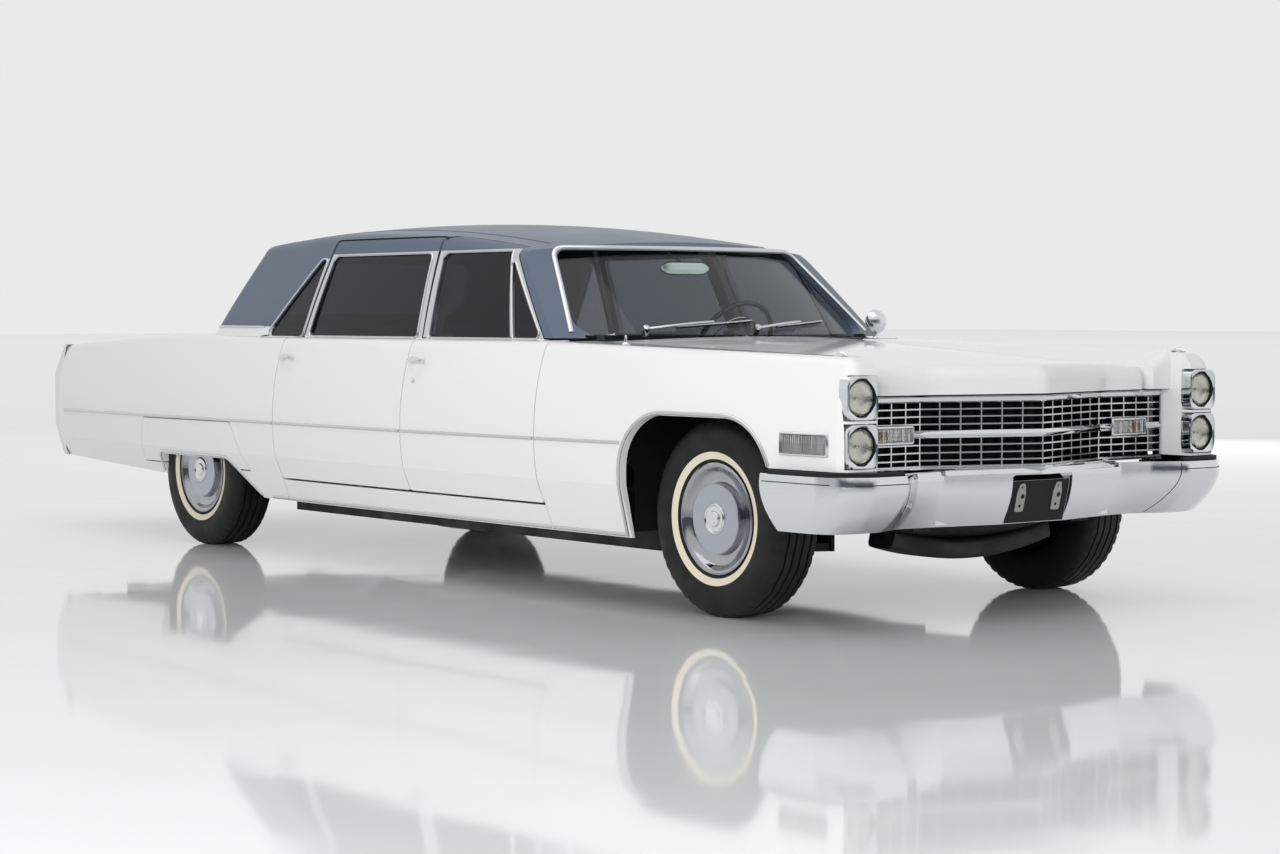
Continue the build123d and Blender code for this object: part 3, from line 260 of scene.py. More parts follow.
def land(nodes, points, direction):
    """Where lines from points along a direction first meet the solids, and the smoothed normals there. Each
    line is tested against every triangle at once, by solving for its shares of the triangle's two edges."""
    tri = triangles(nodes)
    d = unit(np.asarray(direction, float))
    e1, e2 = tri[:, 1] - tri[:, 0], tri[:, 2] - tri[:, 0]
    p = np.cross(d, e2)
    det = (e1 * p).sum(1)
    use = np.abs(det) > FLAT
    tri, e1, e2, p, det = tri[use], e1[use], e2[use], p[use], det[use]
    reach, normal = [], []
    for batch in np.array_split(points, max(1, len(points) * len(tri) // BATCH)):
        gap = batch[:, None] - tri[None, :, 0]
        u = (gap * p).sum(2) / det
        q = np.cross(gap, e1)
        v, t = q @ d / det, (q * e2).sum(2) / det
        t = np.where((u >= -SLACK) & (v >= -SLACK) & (u + v <= 1 + SLACK) & (t > 0), t, np.inf)
        best = t.argmin(1)
        reach.append(t.min(1))
        normal.append(unit(np.cross(e1[best], e2[best])))
    reach, normal = np.concatenate(reach), np.concatenate(normal)
    missed = ~np.isfinite(reach)
    if missed.mean() > MISSES:
        lost = points[missed][0].round(3)
        raise ValueError(f"{missed.sum()} of {len(points)} lines miss {nodes}, first {lost}")
    # A line that falls through a shut line takes the reach and the normal between its neighbours
    order = np.arange(len(points))
    reach = np.interp(order, order[~missed], reach[~missed])
    normal = normal[order[~missed][np.abs(order[:, None] - order[~missed]).argmin(1)]]
    normal *= -np.sign(normal @ d)[:, None]
    if len(normal) > 8:
        padded = np.concatenate([normal[:1]] * 3 + [normal] + [normal[-1:]] * 3)
        normal = unit(np.stack([np.convolve(padded[:, k], np.ones(7) / 7, "valid") for k in range(3)], 1))
    return points + d * reach[:, None], normal


def on_side(nodes, xz):
    """Points (x, z) laid on the left outside of some solids."""
    return land(nodes, at(xz[:, 0], FAR_SIDE, xz[:, 1]), (0, -1, 0))


def on_face(nodes, yz, sense):
    """Points (y, z) laid on the front (sense 1) or the back (sense -1) of some solids."""
    return land(nodes, at(sense * FAR_END, yz[:, 0], yz[:, 1]), (-sense, 0, 0))


def on_top(nodes, xy):
    """Points (x, y) laid on the top of some solids."""
    return land(nodes, at(xy[:, 0], xy[:, 1], FAR_ABOVE), (0, 0, -1))


# Finishes

FINISH = {}


def put(tree, kind, sockets=None, links=None, **settings):
    """Adds a node with its settings, its socket values and its links from other nodes' outputs."""
    made = tree.nodes.new(kind)
    for key, value in settings.items():
        setattr(made, key, value)
    for key, value in (sockets or {}).items():
        made.inputs[key].default_value = value
    for key, source in (links or {}).items():
        tree.links.new(source, made.inputs[key])
    return made


def finish(name, colour, roughness, metallic=0.0, grain_mm=0.0, depth_mm=0.0, cloud=0.0, cloud_mm=300.0,
           spread=0.0,
           stretch=(1, 1, 1), **sockets):
    """A material on Object coordinates: its colour drifts with slow clouds, its roughness spreads with them,
    and a grain of a real size in millimetres is raised by a depth in millimetres."""
    made = bpy.data.materials.new(name)
    made.use_nodes = True
    tree = made.node_tree
    shader = tree.nodes["Principled BSDF"]
    place = put(tree, "ShaderNodeTexCoord").outputs["Object"]
    values = {"Base Color": linear(colour), "Roughness": roughness, "Metallic": metallic}
    values.update({key.replace("_", " "): value for key, value in sockets.items()})
    for key, value in values.items():
        shader.inputs[key].default_value = value
    if cloud or spread:
        clouds = put(tree, "ShaderNodeTexNoise", {"Scale": 1000 / cloud_mm, "Detail": 5.0}, {"Vector": place})
        if cloud:
            dark = [c * (1 - cloud) for c in linear(colour)[:3]] + [1.0]
            light = [min(1.0, c * (1 + cloud * 0.5)) for c in linear(colour)[:3]] + [1.0]
            blend = put(tree, "ShaderNodeMix", data_type="RGBA")
            colours = [s for s in blend.inputs if s.type == "RGBA"]
            colours[0].default_value, colours[1].default_value = dark, light
            tree.links.new(clouds.outputs["Fac"], blend.inputs["Factor"])
            tree.links.new([s for s in blend.outputs if s.type == "RGBA"][0], shader.inputs["Base Color"])
        if spread:
            ramp = put(tree, "ShaderNodeMapRange", {"From Min": 0.3, "From Max": 0.7,
                                                    "To Min": max(0.0, roughness - spread),
                                                    "To Max": min(1.0, roughness + spread)},
                       {"Value": clouds.outputs["Fac"]})
            tree.links.new(ramp.outputs["Result"], shader.inputs["Roughness"])
    if grain_mm:
        turn = put(tree, "ShaderNodeMapping", {"Scale": stretch}, {"Vector": place}).outputs["Vector"]
        grain = put(tree, "ShaderNodeTexNoise", {"Scale": 1000 / grain_mm, "Detail": 3.0}, {"Vector": turn})
        bump = put(tree, "ShaderNodeBump", {"Strength": 1.0, "Distance": depth_mm / 1000},
                   {"Height": grain.outputs["Fac"]})
        tree.links.new(bump.outputs["Normal"], shader.inputs["Normal"])
    FINISH[name] = made
    return tree, shader, place


def banded(name, bands, base):
    """The finish of a door that is painted below the belt, bright round its windows and vinyl above them:
    colour, metal and roughness change with height at the given levels."""
    tree, shader, place = finish(name, base, 0.1)
    height = put(tree, "ShaderNodeSeparateXYZ", None, {"Vector": place}).outputs["Z"]
    colour, metal, rough = None, None, None
    for level, hex_colour, metallic, roughness in bands:
        above = put(tree, "ShaderNodeMath", {1: level}, {0: height},
                    operation="GREATER_THAN").outputs["Value"]
        values = (linear(hex_colour), metallic, roughness)
        mixes = []
        for kind, old, new in (("RGBA", colour, values[0]), ("FLOAT", metal, values[1]),
                               ("FLOAT", rough, values[2])):
            mix = put(tree, "ShaderNodeMix", data_type=kind)
            socket = "RGBA" if kind == "RGBA" else "VALUE"
            ends = [s for s in mix.inputs if s.type == socket and s.name in "AB"]
            ends[1].default_value = new
            if old is None:
                ends[0].default_value = new
            else:
                tree.links.new(old, ends[0])
            factor = [s for s in mix.inputs if s.name == "Factor" and s.type == "VALUE"][0]
            tree.links.new(above, factor)
            mixes.append([s for s in mix.outputs if s.type == socket][0])
        colour, metal, rough = mixes
    tree.links.new(colour, shader.inputs["Base Color"])
    tree.links.new(metal, shader.inputs["Metallic"])
    tree.links.new(rough, shader.inputs["Roughness"])


PAINT, VINYL, BRIGHT, CHROME = "#ECEDEC", "#566276", "#D4D6D8", "#E3E5E7"


def make_finishes():
    """All materials, each named for what it is and how its surface was made."""
    # Baked acrylic lacquer, polished: a hard white gloss with a trace of orange peel
    finish("polished white lacquer", PAINT, 0.07, grain_mm=9, depth_mm=0.012, cloud=0.015, cloud_mm=900,
           spread=0.02)
    # Coated cloth embossed with a leather grain: soft sheen, small pits and faint fading
    finish("embossed slate vinyl", VINYL, 0.5, grain_mm=3.2, depth_mm=0.35, cloud=0.16, cloud_mm=260,
           spread=0.08, Specular_IOR_Level=0.5, Sheen_Weight=0.15)
    # Plated steel, buffed: a mirror with slow waves
    finish("buffed chrome plate", CHROME, 0.05, 1.0, grain_mm=120, depth_mm=0.25, spread=0.02)
    # Stainless strip, rolled and buffed: a mirror slightly dulled along its length
    finish("rolled stainless trim", BRIGHT, 0.14, 1.0, grain_mm=30, depth_mm=0.05, spread=0.04)
    # Spun aluminium: rings left by the tool spread the light
    finish("spun aluminium disc", "#BDC1CB", 0.3, 1.0, grain_mm=2, depth_mm=0.03, Anisotropic=0.7)
    # The same plate in a deep dish: its colour is darkened as a painted reflection of the dark road and the
    # tyre, and mottled in slow clouds
    finish("buffed wheel dish", "#B4B6BB", 0.05, 1.0, grain_mm=50, depth_mm=0.5, spread=0.02, cloud=0.25,
           cloud_mm=70)
    # Tyre rubber: nearly black, dusty where it flexes
    finish("moulded tyre rubber", "#0C0C0C", 0.6, grain_mm=1.6, depth_mm=0.12, cloud=0.3, cloud_mm=90,
           spread=0.1)
    # White sidewall rubber, yellowed a little
    finish("cream sidewall rubber", "#E4DBC4", 0.55, cloud=0.05, cloud_mm=40, grain_mm=2, depth_mm=0.05)
    # Chassis black: brushed on, satin, dusty
    finish("satin chassis black", "#191A1B", 0.55, grain_mm=14, depth_mm=0.3, cloud=0.35, cloud_mm=120,
           spread=0.15)
    # Sand-cast iron, painted
    finish("painted cast iron", "#3C4246", 0.5, 0.3, grain_mm=5, depth_mm=0.4, cloud=0.25, cloud_mm=80)
    # Laminated glass: clear with a faint green cast, its reflections in the coat
    finish("clear laminated glass", "#E6EFEA", 0.0, Transmission_Weight=1.0, IOR=1.01, Coat_Weight=0.4)
    # Smoked glass: the cabin only just shows through
    finish("smoked side glass", "#565863", 0.0, Transmission_Weight=1.0, IOR=1.01, Coat_Weight=0.6)
    # Pressed lamp glass: clear with moulded prisms
    finish("pressed lamp glass", "#F7F7F3", 0.0, grain_mm=9, depth_mm=1.0, stretch=(1, 1, 0.2),
           Transmission_Weight=1.0, IOR=1.45)
    # Moulded clear lens, a little hazy
    finish("clear lamp lens", "#EFF1EF", 0.04, Transmission_Weight=1.0, IOR=1.3)
    # Amber cover inside the parking lamp
    finish("amber lamp lens", "#D9853B", 0.06, Transmission_Weight=0.8, IOR=1.4)
    # Red lens with fine moulded dimples
    finish("red lamp lens", "#8E1214", 0.08, Transmission_Weight=0.5, IOR=1.45, grain_mm=6, depth_mm=0.2)
    # Vacuum plated reflector, smoked with age
    finish("plated lamp bowl", "#DCDBD6", 0.06, 1.0, grain_mm=16, depth_mm=1.6, cloud=0.3, cloud_mm=45)
    # Bowl of the cornering lamp: the plate darkened as painted shade inside the lamp, uneven behind its
    # flutes
    finish("plated backing darkened as painted shade", "#6F7277", 0.1, 1.0, grain_mm=8, depth_mm=0.8, cloud=0.4, cloud_mm=30)
    # Cabin vinyl: dark blue-green with a small leather grain
    finish("stitched cabin vinyl", "#22343B", 0.5, grain_mm=2.4, depth_mm=0.2, cloud=0.15, cloud_mm=90)
    # Carpet: deep loops that swallow light
    finish("loop pile carpet", "#1C2A30", 0.95, grain_mm=4, depth_mm=1.5, cloud=0.3, cloud_mm=30)
    # Steering wheel plastic: smooth, half gloss
    finish("moulded wheel plastic", "#1E3A40", 0.25, cloud=0.06, cloud_mm=60)
    # Bench cloth: ribbed face with a soft sheen
    finish("ribbed bench cloth", "#3B4F59", 0.85, grain_mm=3.5, depth_mm=0.5, cloud=0.2, cloud_mm=60,
           stretch=(1, 0.2, 1), Sheen_Weight=0.3)
    # Headliner: pressed board, pale and dull
    finish("moulded headliner board", "#8D979F", 0.9, grain_mm=5, depth_mm=0.3, cloud=0.08, cloud_mm=120)
    # Engine enamel: dark blue, half gloss over a sprayed texture
    finish("sprayed engine enamel", "#27485E", 0.38, grain_mm=9, depth_mm=0.25, cloud=0.25, cloud_mm=70,
           spread=0.1)
    # Black tin: glossy and a little uneven
    finish("gloss black tin", "#0E0F10", 0.2, grain_mm=40, depth_mm=0.2, cloud=0.2, cloud_mm=90, spread=0.08)
    # Zinc plated steel, dulled
    finish("zinc plated steel", "#A9ABA8", 0.38, 0.9, grain_mm=20, depth_mm=0.1, cloud=0.18, cloud_mm=40,
           spread=0.12)
    # Seals and gaskets: dull black
    finish("soft black rubber", "#101112", 0.7, grain_mm=3, depth_mm=0.1)
    # Silvered glass: a plain mirror
    finish("mirror glass", "#DADFE2", 0.01, 1.0)
    # Bright only along the front edge of each bar and vane; what stands more than 6 mm further back is black,
    # painted shade in the grille's depth. The front is a V in plan that levels out into the wings, so the
    # depth is measured behind the nearer of those two lines.
    tree, shader, place = finish("bright edge over painted depth shade", "#DCDDDD", 0.16, 1.0)
    axes = put(tree, "ShaderNodeSeparateXYZ", None, {"Vector": place}).outputs
    away = put(tree, "ShaderNodeMath", None, {0: axes["Y"]}, operation="ABSOLUTE").outputs["Value"]
    vee = put(tree, "ShaderNodeMath", {1: -0.152 / 0.455, 2: front(0.752)}, {0: away},
              operation="MULTIPLY_ADD")
    line = put(tree, "ShaderNodeMath", {1: front(0.600)}, {0: vee.outputs["Value"]}, operation="MAXIMUM")
    depth = put(tree, "ShaderNodeMath", None, {0: line.outputs["Value"], 1: axes["X"]}, operation="SUBTRACT")
    deep = put(tree, "ShaderNodeMath", {1: 0.006}, {0: depth.outputs["Value"]},
               operation="GREATER_THAN").outputs["Value"]
    for socket, near, far in (("Metallic", 1.0, 0.0), ("Roughness", 0.16, 0.6)):
        change = put(tree, "ShaderNodeMapRange", {"To Min": near, "To Max": far}, {"Value": deep})
        tree.links.new(change.outputs["Result"], shader.inputs[socket])
    shade = put(tree, "ShaderNodeMix", data_type="RGBA", links={"Factor": deep})
    ends = [s for s in shade.inputs if s.type == "RGBA"]
    ends[0].default_value, ends[1].default_value = linear("#DCDDDD"), linear("#0B0B0C")
    tree.links.new([s for s in shade.outputs if s.type == "RGBA"][0], shader.inputs["Base Color"])
    # Doors: white gloss to the belt, bright window frames above it, vinyl over those
    banded("lacquer below bright frames and vinyl", [(-1.0, PAINT, 0.0, 0.07),
                                                     (BELT_Z + 0.003, BRIGHT, 1.0, 0.16),
                                                     (GLASS_HIGH + 0.011, VINYL, 0.0, 0.5)], PAINT)
    # Quarter panels: white gloss, with vinyl above the belt
    banded("vinyl above lacquer", [(-1.0, PAINT, 0.0, 0.07), (1.031, VINYL, 0.0, 0.5)], PAINT)


def piece(name, shape, finish_name, body="car_body", slot=None, smooth=38, hides=()):
    """A mesh object at the origin from a shape, with its doubles merged and its faces outwards, riding on a
    body. The slot argument is not used."""
    points, faces = shape
    mesh = bpy.data.meshes.new(name)
    mesh.from_pydata(points.tolist(), [], [row for block in faces for row in block.tolist()])
    shell = bmesh.new()
    shell.from_mesh(mesh)
    bmesh.ops.remove_doubles(shell, verts=shell.verts, dist=1e-5)
    bmesh.ops.recalc_face_normals(shell, faces=shell.faces)
    shell.to_mesh(mesh)
    shell.free()
    mesh.polygons.foreach_set("use_smooth", np.ones(len(mesh.polygons), bool))
    mesh.set_sharp_from_angle(angle=math.radians(smooth))
    mesh.materials.append(FINISH[finish_name])
    made = bpy.data.objects.new(name, mesh)
    bpy.context.scene.collection.objects.link(made)
    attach(made, body)
    if hides:
        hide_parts(*hides)
    return made


def pair(name, shape, finish_name, body="car_body", slot=None, **options):
    """A left piece and its mirror image; a body name ending in an underscore takes the side's name."""
    for side, sign in SIDES:
        hides = [h + side if h.endswith("_") else h for h in options.get("hides", ())]
        rest = {k: v for k, v in options.items() if k != "hides"}
        place = shape if sign > 0 else mirrored(shape)
        rider = body + side if body.endswith("_") else body
        piece(name + "_" + side, place, finish_name, rider, slot, hides=hides, **rest)


class LimousineSizes(bpy.types.PropertyGroup):
    """Sizes of the trim that a user would change."""
    moulding_width: FloatProperty(name="Side moulding",
                                  description="Height of the bright strip along the body", default=0.014,
                                  min=0.004, max=0.04, unit="LENGTH")
    arch_width: FloatProperty(name="Arch moulding",
                              description="Width of the bright lip round the wheel openings", default=0.015,
                              min=0.004, max=0.04, unit="LENGTH")
    window_bead: FloatProperty(name="Window bead", description="Width of the bead round each window",
                               default=0.009, min=0.003, max=0.03, unit="LENGTH")
    whitewall_inner: FloatProperty(name="Whitewall inner radius", description="Where the pale stripe starts",
                                   default=0.2145, min=0.2, max=0.3, unit="LENGTH")
    whitewall_outer: FloatProperty(name="Whitewall outer radius", description="Where the pale stripe ends",
                                   default=0.2405, min=0.2, max=0.33, unit="LENGTH")
    cover_ribs: IntProperty(name="Cover ribs", description="Shallow ribs round the dish of a wheel cover",
                            default=10, min=0, max=90)


class LimousineStage(bpy.types.PropertyGroup):
    """Floor and light."""
    floor: FloatVectorProperty(name="Floor", description="Colour of the pale floor", subtype="COLOR", size=4,
                               default=linear("#F1F2F3"), min=0, max=1)
    backdrop: FloatVectorProperty(name="Backdrop", description="Colour behind the car", subtype="COLOR",
                                  size=4, default=linear("#E9EAEA"), min=0, max=1)
    open_end: FloatVectorProperty(name="Open end",
                                  description="Colour of the studio's open end in reflections",
                                  subtype="COLOR", size=4, default=linear("#5E636B"), min=0, max=1)
    world_light: FloatProperty(name="Fill", description="Light from all round", default=0.56, min=0, max=3)
    key_watts: FloatProperty(name="Overhead", description="Power of the overhead soft box", default=100,
                             min=0, max=9000)
    fill_watts: FloatProperty(name="Fill boxes", description="Power of each of the two low soft boxes",
                              default=500, min=0, max=9000)


class LimousineOperator:
    """What the dressing steps share."""
    bl_options = {"REGISTER", "UNDO"}

    def execute(self, context):
        self.build(context.scene.limousine_sizes)
        return {"FINISHED"}


class LIMOUSINE_OT_finishes(LimousineOperator, bpy.types.Operator):
    """Gives every solid of the car its finish"""
    bl_idname = "limousine.finishes"
    bl_label = "Finishes"

    def build(self, sizes):
        make_finishes()

        def both(*stems):
            """Names of the left and right solids of each stem."""
            return [f"{stem}_{side}" for stem in stems for side, _ in SIDES]

        by_finish = {
            "polished white lacquer": ["hood", "cowl", "fender_skirts", "rear_deck", "trunk_lid",
                                       "tail_panel",
                                       *both("front_fender", "side_frame")],
            "vinyl above lacquer": both("quarter_panel"),
            "lacquer below bright frames and vinyl": both("door_front", "door_rear"),
            "embossed slate vinyl": ["roof"],
            "clear laminated glass": ["windshield"],
            "smoked side glass": ["rear_window", "quarter_glass",
                                  *both("front_door_glass", "rear_door_glass")],
            "buffed chrome plate": ["front_bumper", "rear_bumper", "headlamps",
                                    *both("wheel_front", "wheel_rear")],
            "bright edge over painted depth shade": ["grille"],
            "red lamp lens": ["tail_lamps"],
            "clear lamp lens": ["parking_lamps"],
            "satin chassis black": ["chassis_frame", "inner_fenders", "front_suspension"],
            "loop pile carpet": ["floor_pan"],
            "painted cast iron": ["engine_block", "driveline", "rear_axle", *both("steering_knuckle")],
            "moulded tyre rubber": both("tyre_front", "tyre_rear"),
            "stitched cabin vinyl": ["dashboard", "front_seat", "rear_seat"],
            "moulded wheel plastic": ["steering_wheel"],
        }
        for name, nodes in by_finish.items():
            for node in nodes:
                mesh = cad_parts[node].data
                mesh.materials.clear()
                mesh.materials.append(FINISH[name])


SIDEWALL = np.array([(0.197, 0.078), (0.205, 0.088), (0.215, 0.0945), (0.230, 0.0995), (0.250, 0.1035),
                     (0.275, 0.1062), (0.295, 0.1068), (0.315, 0.104), (0.332, 0.097), (0.343, 0.0895)])


class LIMOUSINE_OT_tyres(LimousineOperator, bpy.types.Operator):
    """Ribbed road tyres with a pale sidewall stripe"""
    bl_idname = "limousine.tyres"
    bl_label = "Tyres"

    def build(self, sizes):
        grooves = np.array((-0.052, -0.0175, 0.0175, 0.052))
        half_top, half_floor, deep = 0.0045, 0.003, 0.008
        edges = np.stack([grooves - half_top, grooves - half_floor, grooves + half_floor, grooves + half_top],
                         1).ravel()
        sink = np.tile((0, deep, deep, 0), len(grooves))
        tread_w = np.concatenate([[-0.076], edges, [0.076]])
        tread_r = TYRE_R - np.concatenate([[0.0015], sink, [0.0015]])
        wall = SIDEWALL[::-1]
        radius = np.concatenate([SIDEWALL[:, 0], tread_r, wall[:, 0]])
        width = np.concatenate([-SIDEWALL[:, 1], tread_w, wall[:, 1]])
        first = len(SIDEWALL)
        count = 240
        step = np.arange(count)
        zigzag = 0.0022 * (np.abs((step % 12) - 6) / 3 - 1)
        notch = 0.004 * ((step % 5) < 2)
        angle = step * 2 * np.pi / count
        r = np.repeat(radius[None], count, 0)
        w = np.repeat(width[None], count, 0)
        w[:, first + 1:first + 1 + len(edges)] += zigzag[:, None]
        for column in (first - 1, first, first + len(tread_w) - 1, first + len(tread_w)):
            r[:, column] -= notch
        grid = np.stack([r * np.cos(angle)[:, None], w, r * np.sin(angle)[:, None]], -1)
        inner, outer = sizes.whitewall_inner, sizes.whitewall_outer
        spots = np.linspace(inner, outer, 7)
        face = np.interp(spots, SIDEWALL[:, 0], SIDEWALL[:, 1])
        stripe = np.concatenate([[(inner, face[0] - 0.002)], np.stack([spots, face + 0.0012], 1),
                                 [(outer, face[-1] - 0.002)], [(inner, face[0] - 0.002)]])
        for end, x in (("front", FRONT_X), ("rear", REAR_X)):
            place = (x, TRACK_Y, AXLE_Z)
            body = f"wheel_{end}_"
            shape = skinned(grid + np.array(place), wrap_rows=True, wrap_cols=True)
            pair(f"road_tyre_{end}", shape, "moulded tyre rubber", body, smooth=30, hides=(f"tyre_{end}_",))
            pair(f"whitewall_{end}", turned(stripe, 120, place, (0, 1, 0)), "cream sidewall rubber", body)


class LIMOUSINE_OT_wheels(LimousineOperator, bpy.types.Operator):
    """Pressed wheels with dish covers, spun discs and plain centres"""
    bl_idname = "limousine.wheels"
    bl_label = "Wheels"

    def build(self, sizes):
        barrel = [(0.031, 0.0), (0.031, -0.022), (0.066, -0.022), (0.066, -0.034), (0.12, -0.034),
                  (0.168, -0.07), (0.1945, -0.084), (0.1945, 0.083), (0.188, 0.083), (0.184, -0.03),
                  (0.165, -0.052), (0.12, -0.018), (0.07, 0.0), (0.031, 0.0)]
        dish = [(0.19, 0.07), (0.2, 0.08), (0.2035, 0.0865), (0.2015, 0.0925), (0.195, 0.0955),
                (0.188, 0.0935), (0.181, 0.086), (0.174, 0.074), (0.165, 0.066), (0.152, 0.061),
                (0.14, 0.0605), (0.132, 0.063), (0.1285, 0.07), (0.1275, 0.086), (0.127, 0.09), (0.12, 0.06),
                (0.13, 0.05), (0.16, 0.05), (0.19, 0.07)]
        disc = [(0.0, 0.085), (0.126, 0.085), (0.1275, 0.0925), (0.1255, 0.0955), (0.1, 0.0968),
                (0.062, 0.0985), (0.0, 0.0985)]
        ring = [(0.0, 0.09), (0.058, 0.09), (0.058, 0.0985), (0.0555, 0.103), (0.052, 0.1045),
                (0.0485, 0.103), (0.046, 0.1), (0.03, 0.1005), (0.029, 0.105), (0.026, 0.1075), (0.0, 0.1075)]
        count = sizes.cover_ribs

        def ribs(radius, angle):
            """A row of ribs round the dish: a sharpened cosine of the angle, faded in and out with the
            radius."""
            window = np.clip(1 - np.abs(radius - 0.158) / 0.02, 0, 1)
            return 0.0015 * window * np.clip(np.cos(count * angle), 0, 1) ** 0.5 * (radius > 0.137)

        for end, x in (("front", FRONT_X), ("rear", REAR_X)):
            place, axis, body = (x, TRACK_Y, AXLE_Z), (0, 1, 0), f"wheel_{end}_"
            pair(f"wheel_rim_{end}", turned(barrel, 72, place, axis), "satin chassis black", body,
                 hides=(f"wheel_{end}_",))
            # The dish's plate is darkened as a painted reflection of the road and the tyre
            pair(f"cover_dish_{end}", turned(dish, 160, place, axis, ripple=ribs), "buffed wheel dish", body)
            pair(f"cover_disc_{end}", turned(disc, 96, place, axis), "spun aluminium disc", body)
            pair(f"cover_centre_{end}", turned(ring, 72, place, axis), "buffed chrome plate", body)


HEADLAMP = {"y": 0.866, "z": (0.642, 0.805), "face": 0.748}


class LIMOUSINE_OT_headlamps(LimousineOperator, bpy.types.Operator):
    """Stacked round lamps in square bezels"""
    bl_idname = "limousine.headlamps"
    bl_label = "Headlamps"

    def build(self, sizes):
        face = front(HEADLAMP["face"])
        axis = (1, 0, 0)
        loops = []
        # Square rim to round throat: the outline runs from a superellipse of high power to a circle
        t = np.arange(96) * 2 * np.pi / 96
        for half_y, half_z, x, power in ((0.069, 0.075, -0.044, 6), (0.069, 0.075, -0.006, 6),
                                         (0.0685, 0.0745, 0.001, 6), (0.0665, 0.072, 0.004, 5),
                                         (0.064, 0.068, 0.002, 3.2), (0.0625, 0.0635, -0.006, 2),
                                         (0.0615, 0.0615, -0.018, 2), (0.0615, 0.0615, -0.044, 2)):
            c, s = np.cos(t), np.sin(t)
            size = (np.abs(c) ** power + np.abs(s) ** power) ** (-1 / power)
            loops.append(at(x, half_y * c * size, half_z * s * size))
        loops = np.array(loops)
        lens = [(0.0, -0.002), (0.02, -0.0026), (0.04, -0.0056), (0.054, -0.0105), (0.0605, -0.016),
                (0.0605, -0.019), (0.052, -0.0145), (0.04, -0.0095), (0.02, -0.0066), (0.0, -0.006)]
        bowl = [(0.0605, -0.0195), (0.0612, -0.021), (0.055, -0.03), (0.04, -0.0375), (0.02, -0.0405),
                (0.0, -0.0415), (0.0, -0.0405), (0.02, -0.0395), (0.04, -0.0365), (0.054, -0.0295),
                (0.0605, -0.0195)]
        bulb = [(0.0, -0.02), (0.006, -0.021), (0.008, -0.026), (0.006, -0.036), (0.0, -0.04)]
        for number, z in enumerate(HEADLAMP["z"]):
            place = np.array((face, HEADLAMP["y"], z))
            name = ("lower", "upper")[number]
            rim = skinned(loops + place, wrap_rows=True, wrap_cols=True)
            hides = ("headlamps",) if number == 0 else ()
            pair(f"lamp_bezel_{name}", rim, "buffed chrome plate", hides=hides)
            pair(f"lamp_lens_{name}", turned(lens, 64, place, axis), "pressed lamp glass")
            pair(f"lamp_bowl_{name}", turned(bowl, 64, place, axis), "plated lamp bowl")
            # A black rubber sleeve in the bezel's throat, which also stands as painted shade in the gap there
            sleeve = [(0.0602, -0.02), (0.0602, -0.007), (0.0628, -0.004), (0.0632, -0.02), (0.0602, -0.02)]
            pair(f"lamp_sleeve_{name}", turned(sleeve, 64, place, axis), "soft black rubber")
            pair(f"lamp_bulb_{name}", turned(bulb, 24, place, axis), "clear lamp lens")


def framed_lamp(name, path, normal, height, lens_height, flutes, lens_finish):
    """A bright rounded frame and a fluted lens along a path on the skin. The lens is a flat bar whose
    thickness is lifted by a row of half waves along the path."""
    share = np.linspace(0, 1, len(path))
    lens = swept(path[1:-1] + normal[1:-1] * 0.005, normal[1:-1], plate(lens_height, 0.005, 0.002))
    wave = 0.003 * np.abs(np.sin(np.pi * flutes * share[1:-1]))
    lens_points = lens[0].reshape(len(path) - 2, -1, 3) + normal[1:-1, None] * wave[:, None, None]
    pair(name + "_lens", (lens_points.reshape(-1, 3), lens[1]), lens_finish, smooth=25)
    up = unit(np.cross(np.gradient(path, axis=0), normal))
    low, high = path - up * height / 2, path + up * height / 2
    ring = np.concatenate([low, high[::-1]])
    out = np.concatenate([normal, normal[::-1]])
    pair(name + "_frame", swept(ring, out, bead(0.012, 0.008, 0.004), closed=True), "buffed chrome plate",
         smooth=50)


class LIMOUSINE_OT_small_lamps(LimousineOperator, bpy.types.Operator):
    """Parking lamps on the grille bar and cornering lamps on the fenders"""
    bl_idname = "limousine.small_lamps"
    bl_label = "Small lamps"

    def build(self, sizes):
        x = np.linspace(front(0.440), front(0.668), 241)
        path, normal = on_side(["front_fender_left"], at(x, 0.6455))
        framed_lamp("cornering_lamp", path, normal, 0.072, 0.062, 22, "clear lamp lens")
        # Behind the lens, a plated backing darkened as painted shade inside the lamp
        bowl = swept(path[3:-3] + normal[3:-3] * 0.0006, normal[3:-3], plate(0.06, 0.0016, 0.0006))
        pair("cornering_lamp_bowl", bowl, "plated backing darkened as painted shade")
        up = np.array((0.0, 0.0, 0.027))
        bars = [swept(np.linspace(spot - up, spot + up, 4), out, bead(0.0035, 0.003, 0.0))
                for spot, out in zip(path[10:-8:14], normal[10:-8:14])]
        pair("cornering_lamp_bars", joined(*bars), "plated lamp bowl")
        y = np.linspace(0.512, 0.692, 61)
        path = at(front(0.617), y, 0.667)
        framed_lamp("parking_lamp", path, np.tile((1.0, 0.0, 0.0), (61, 1)), 0.056, 0.046, 22,
                    "clear lamp lens")
        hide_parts("parking_lamps")
        core = plate(0.04, 0.012, 0.004)
        inner = np.linspace(0.516, 0.688, 20)
        back = at(front(0.606), inner, 0.667)
        pair("parking_lamp_bowl", swept(back, (1, 0, 0), core), "plated lamp bowl")
        amber = at(front(0.614), np.linspace(0.63, 0.664, 10), 0.667)
        pair("parking_lamp_amber", swept(amber, (1, 0, 0), plate(0.03, 0.006, 0.0025)), "amber lamp lens")


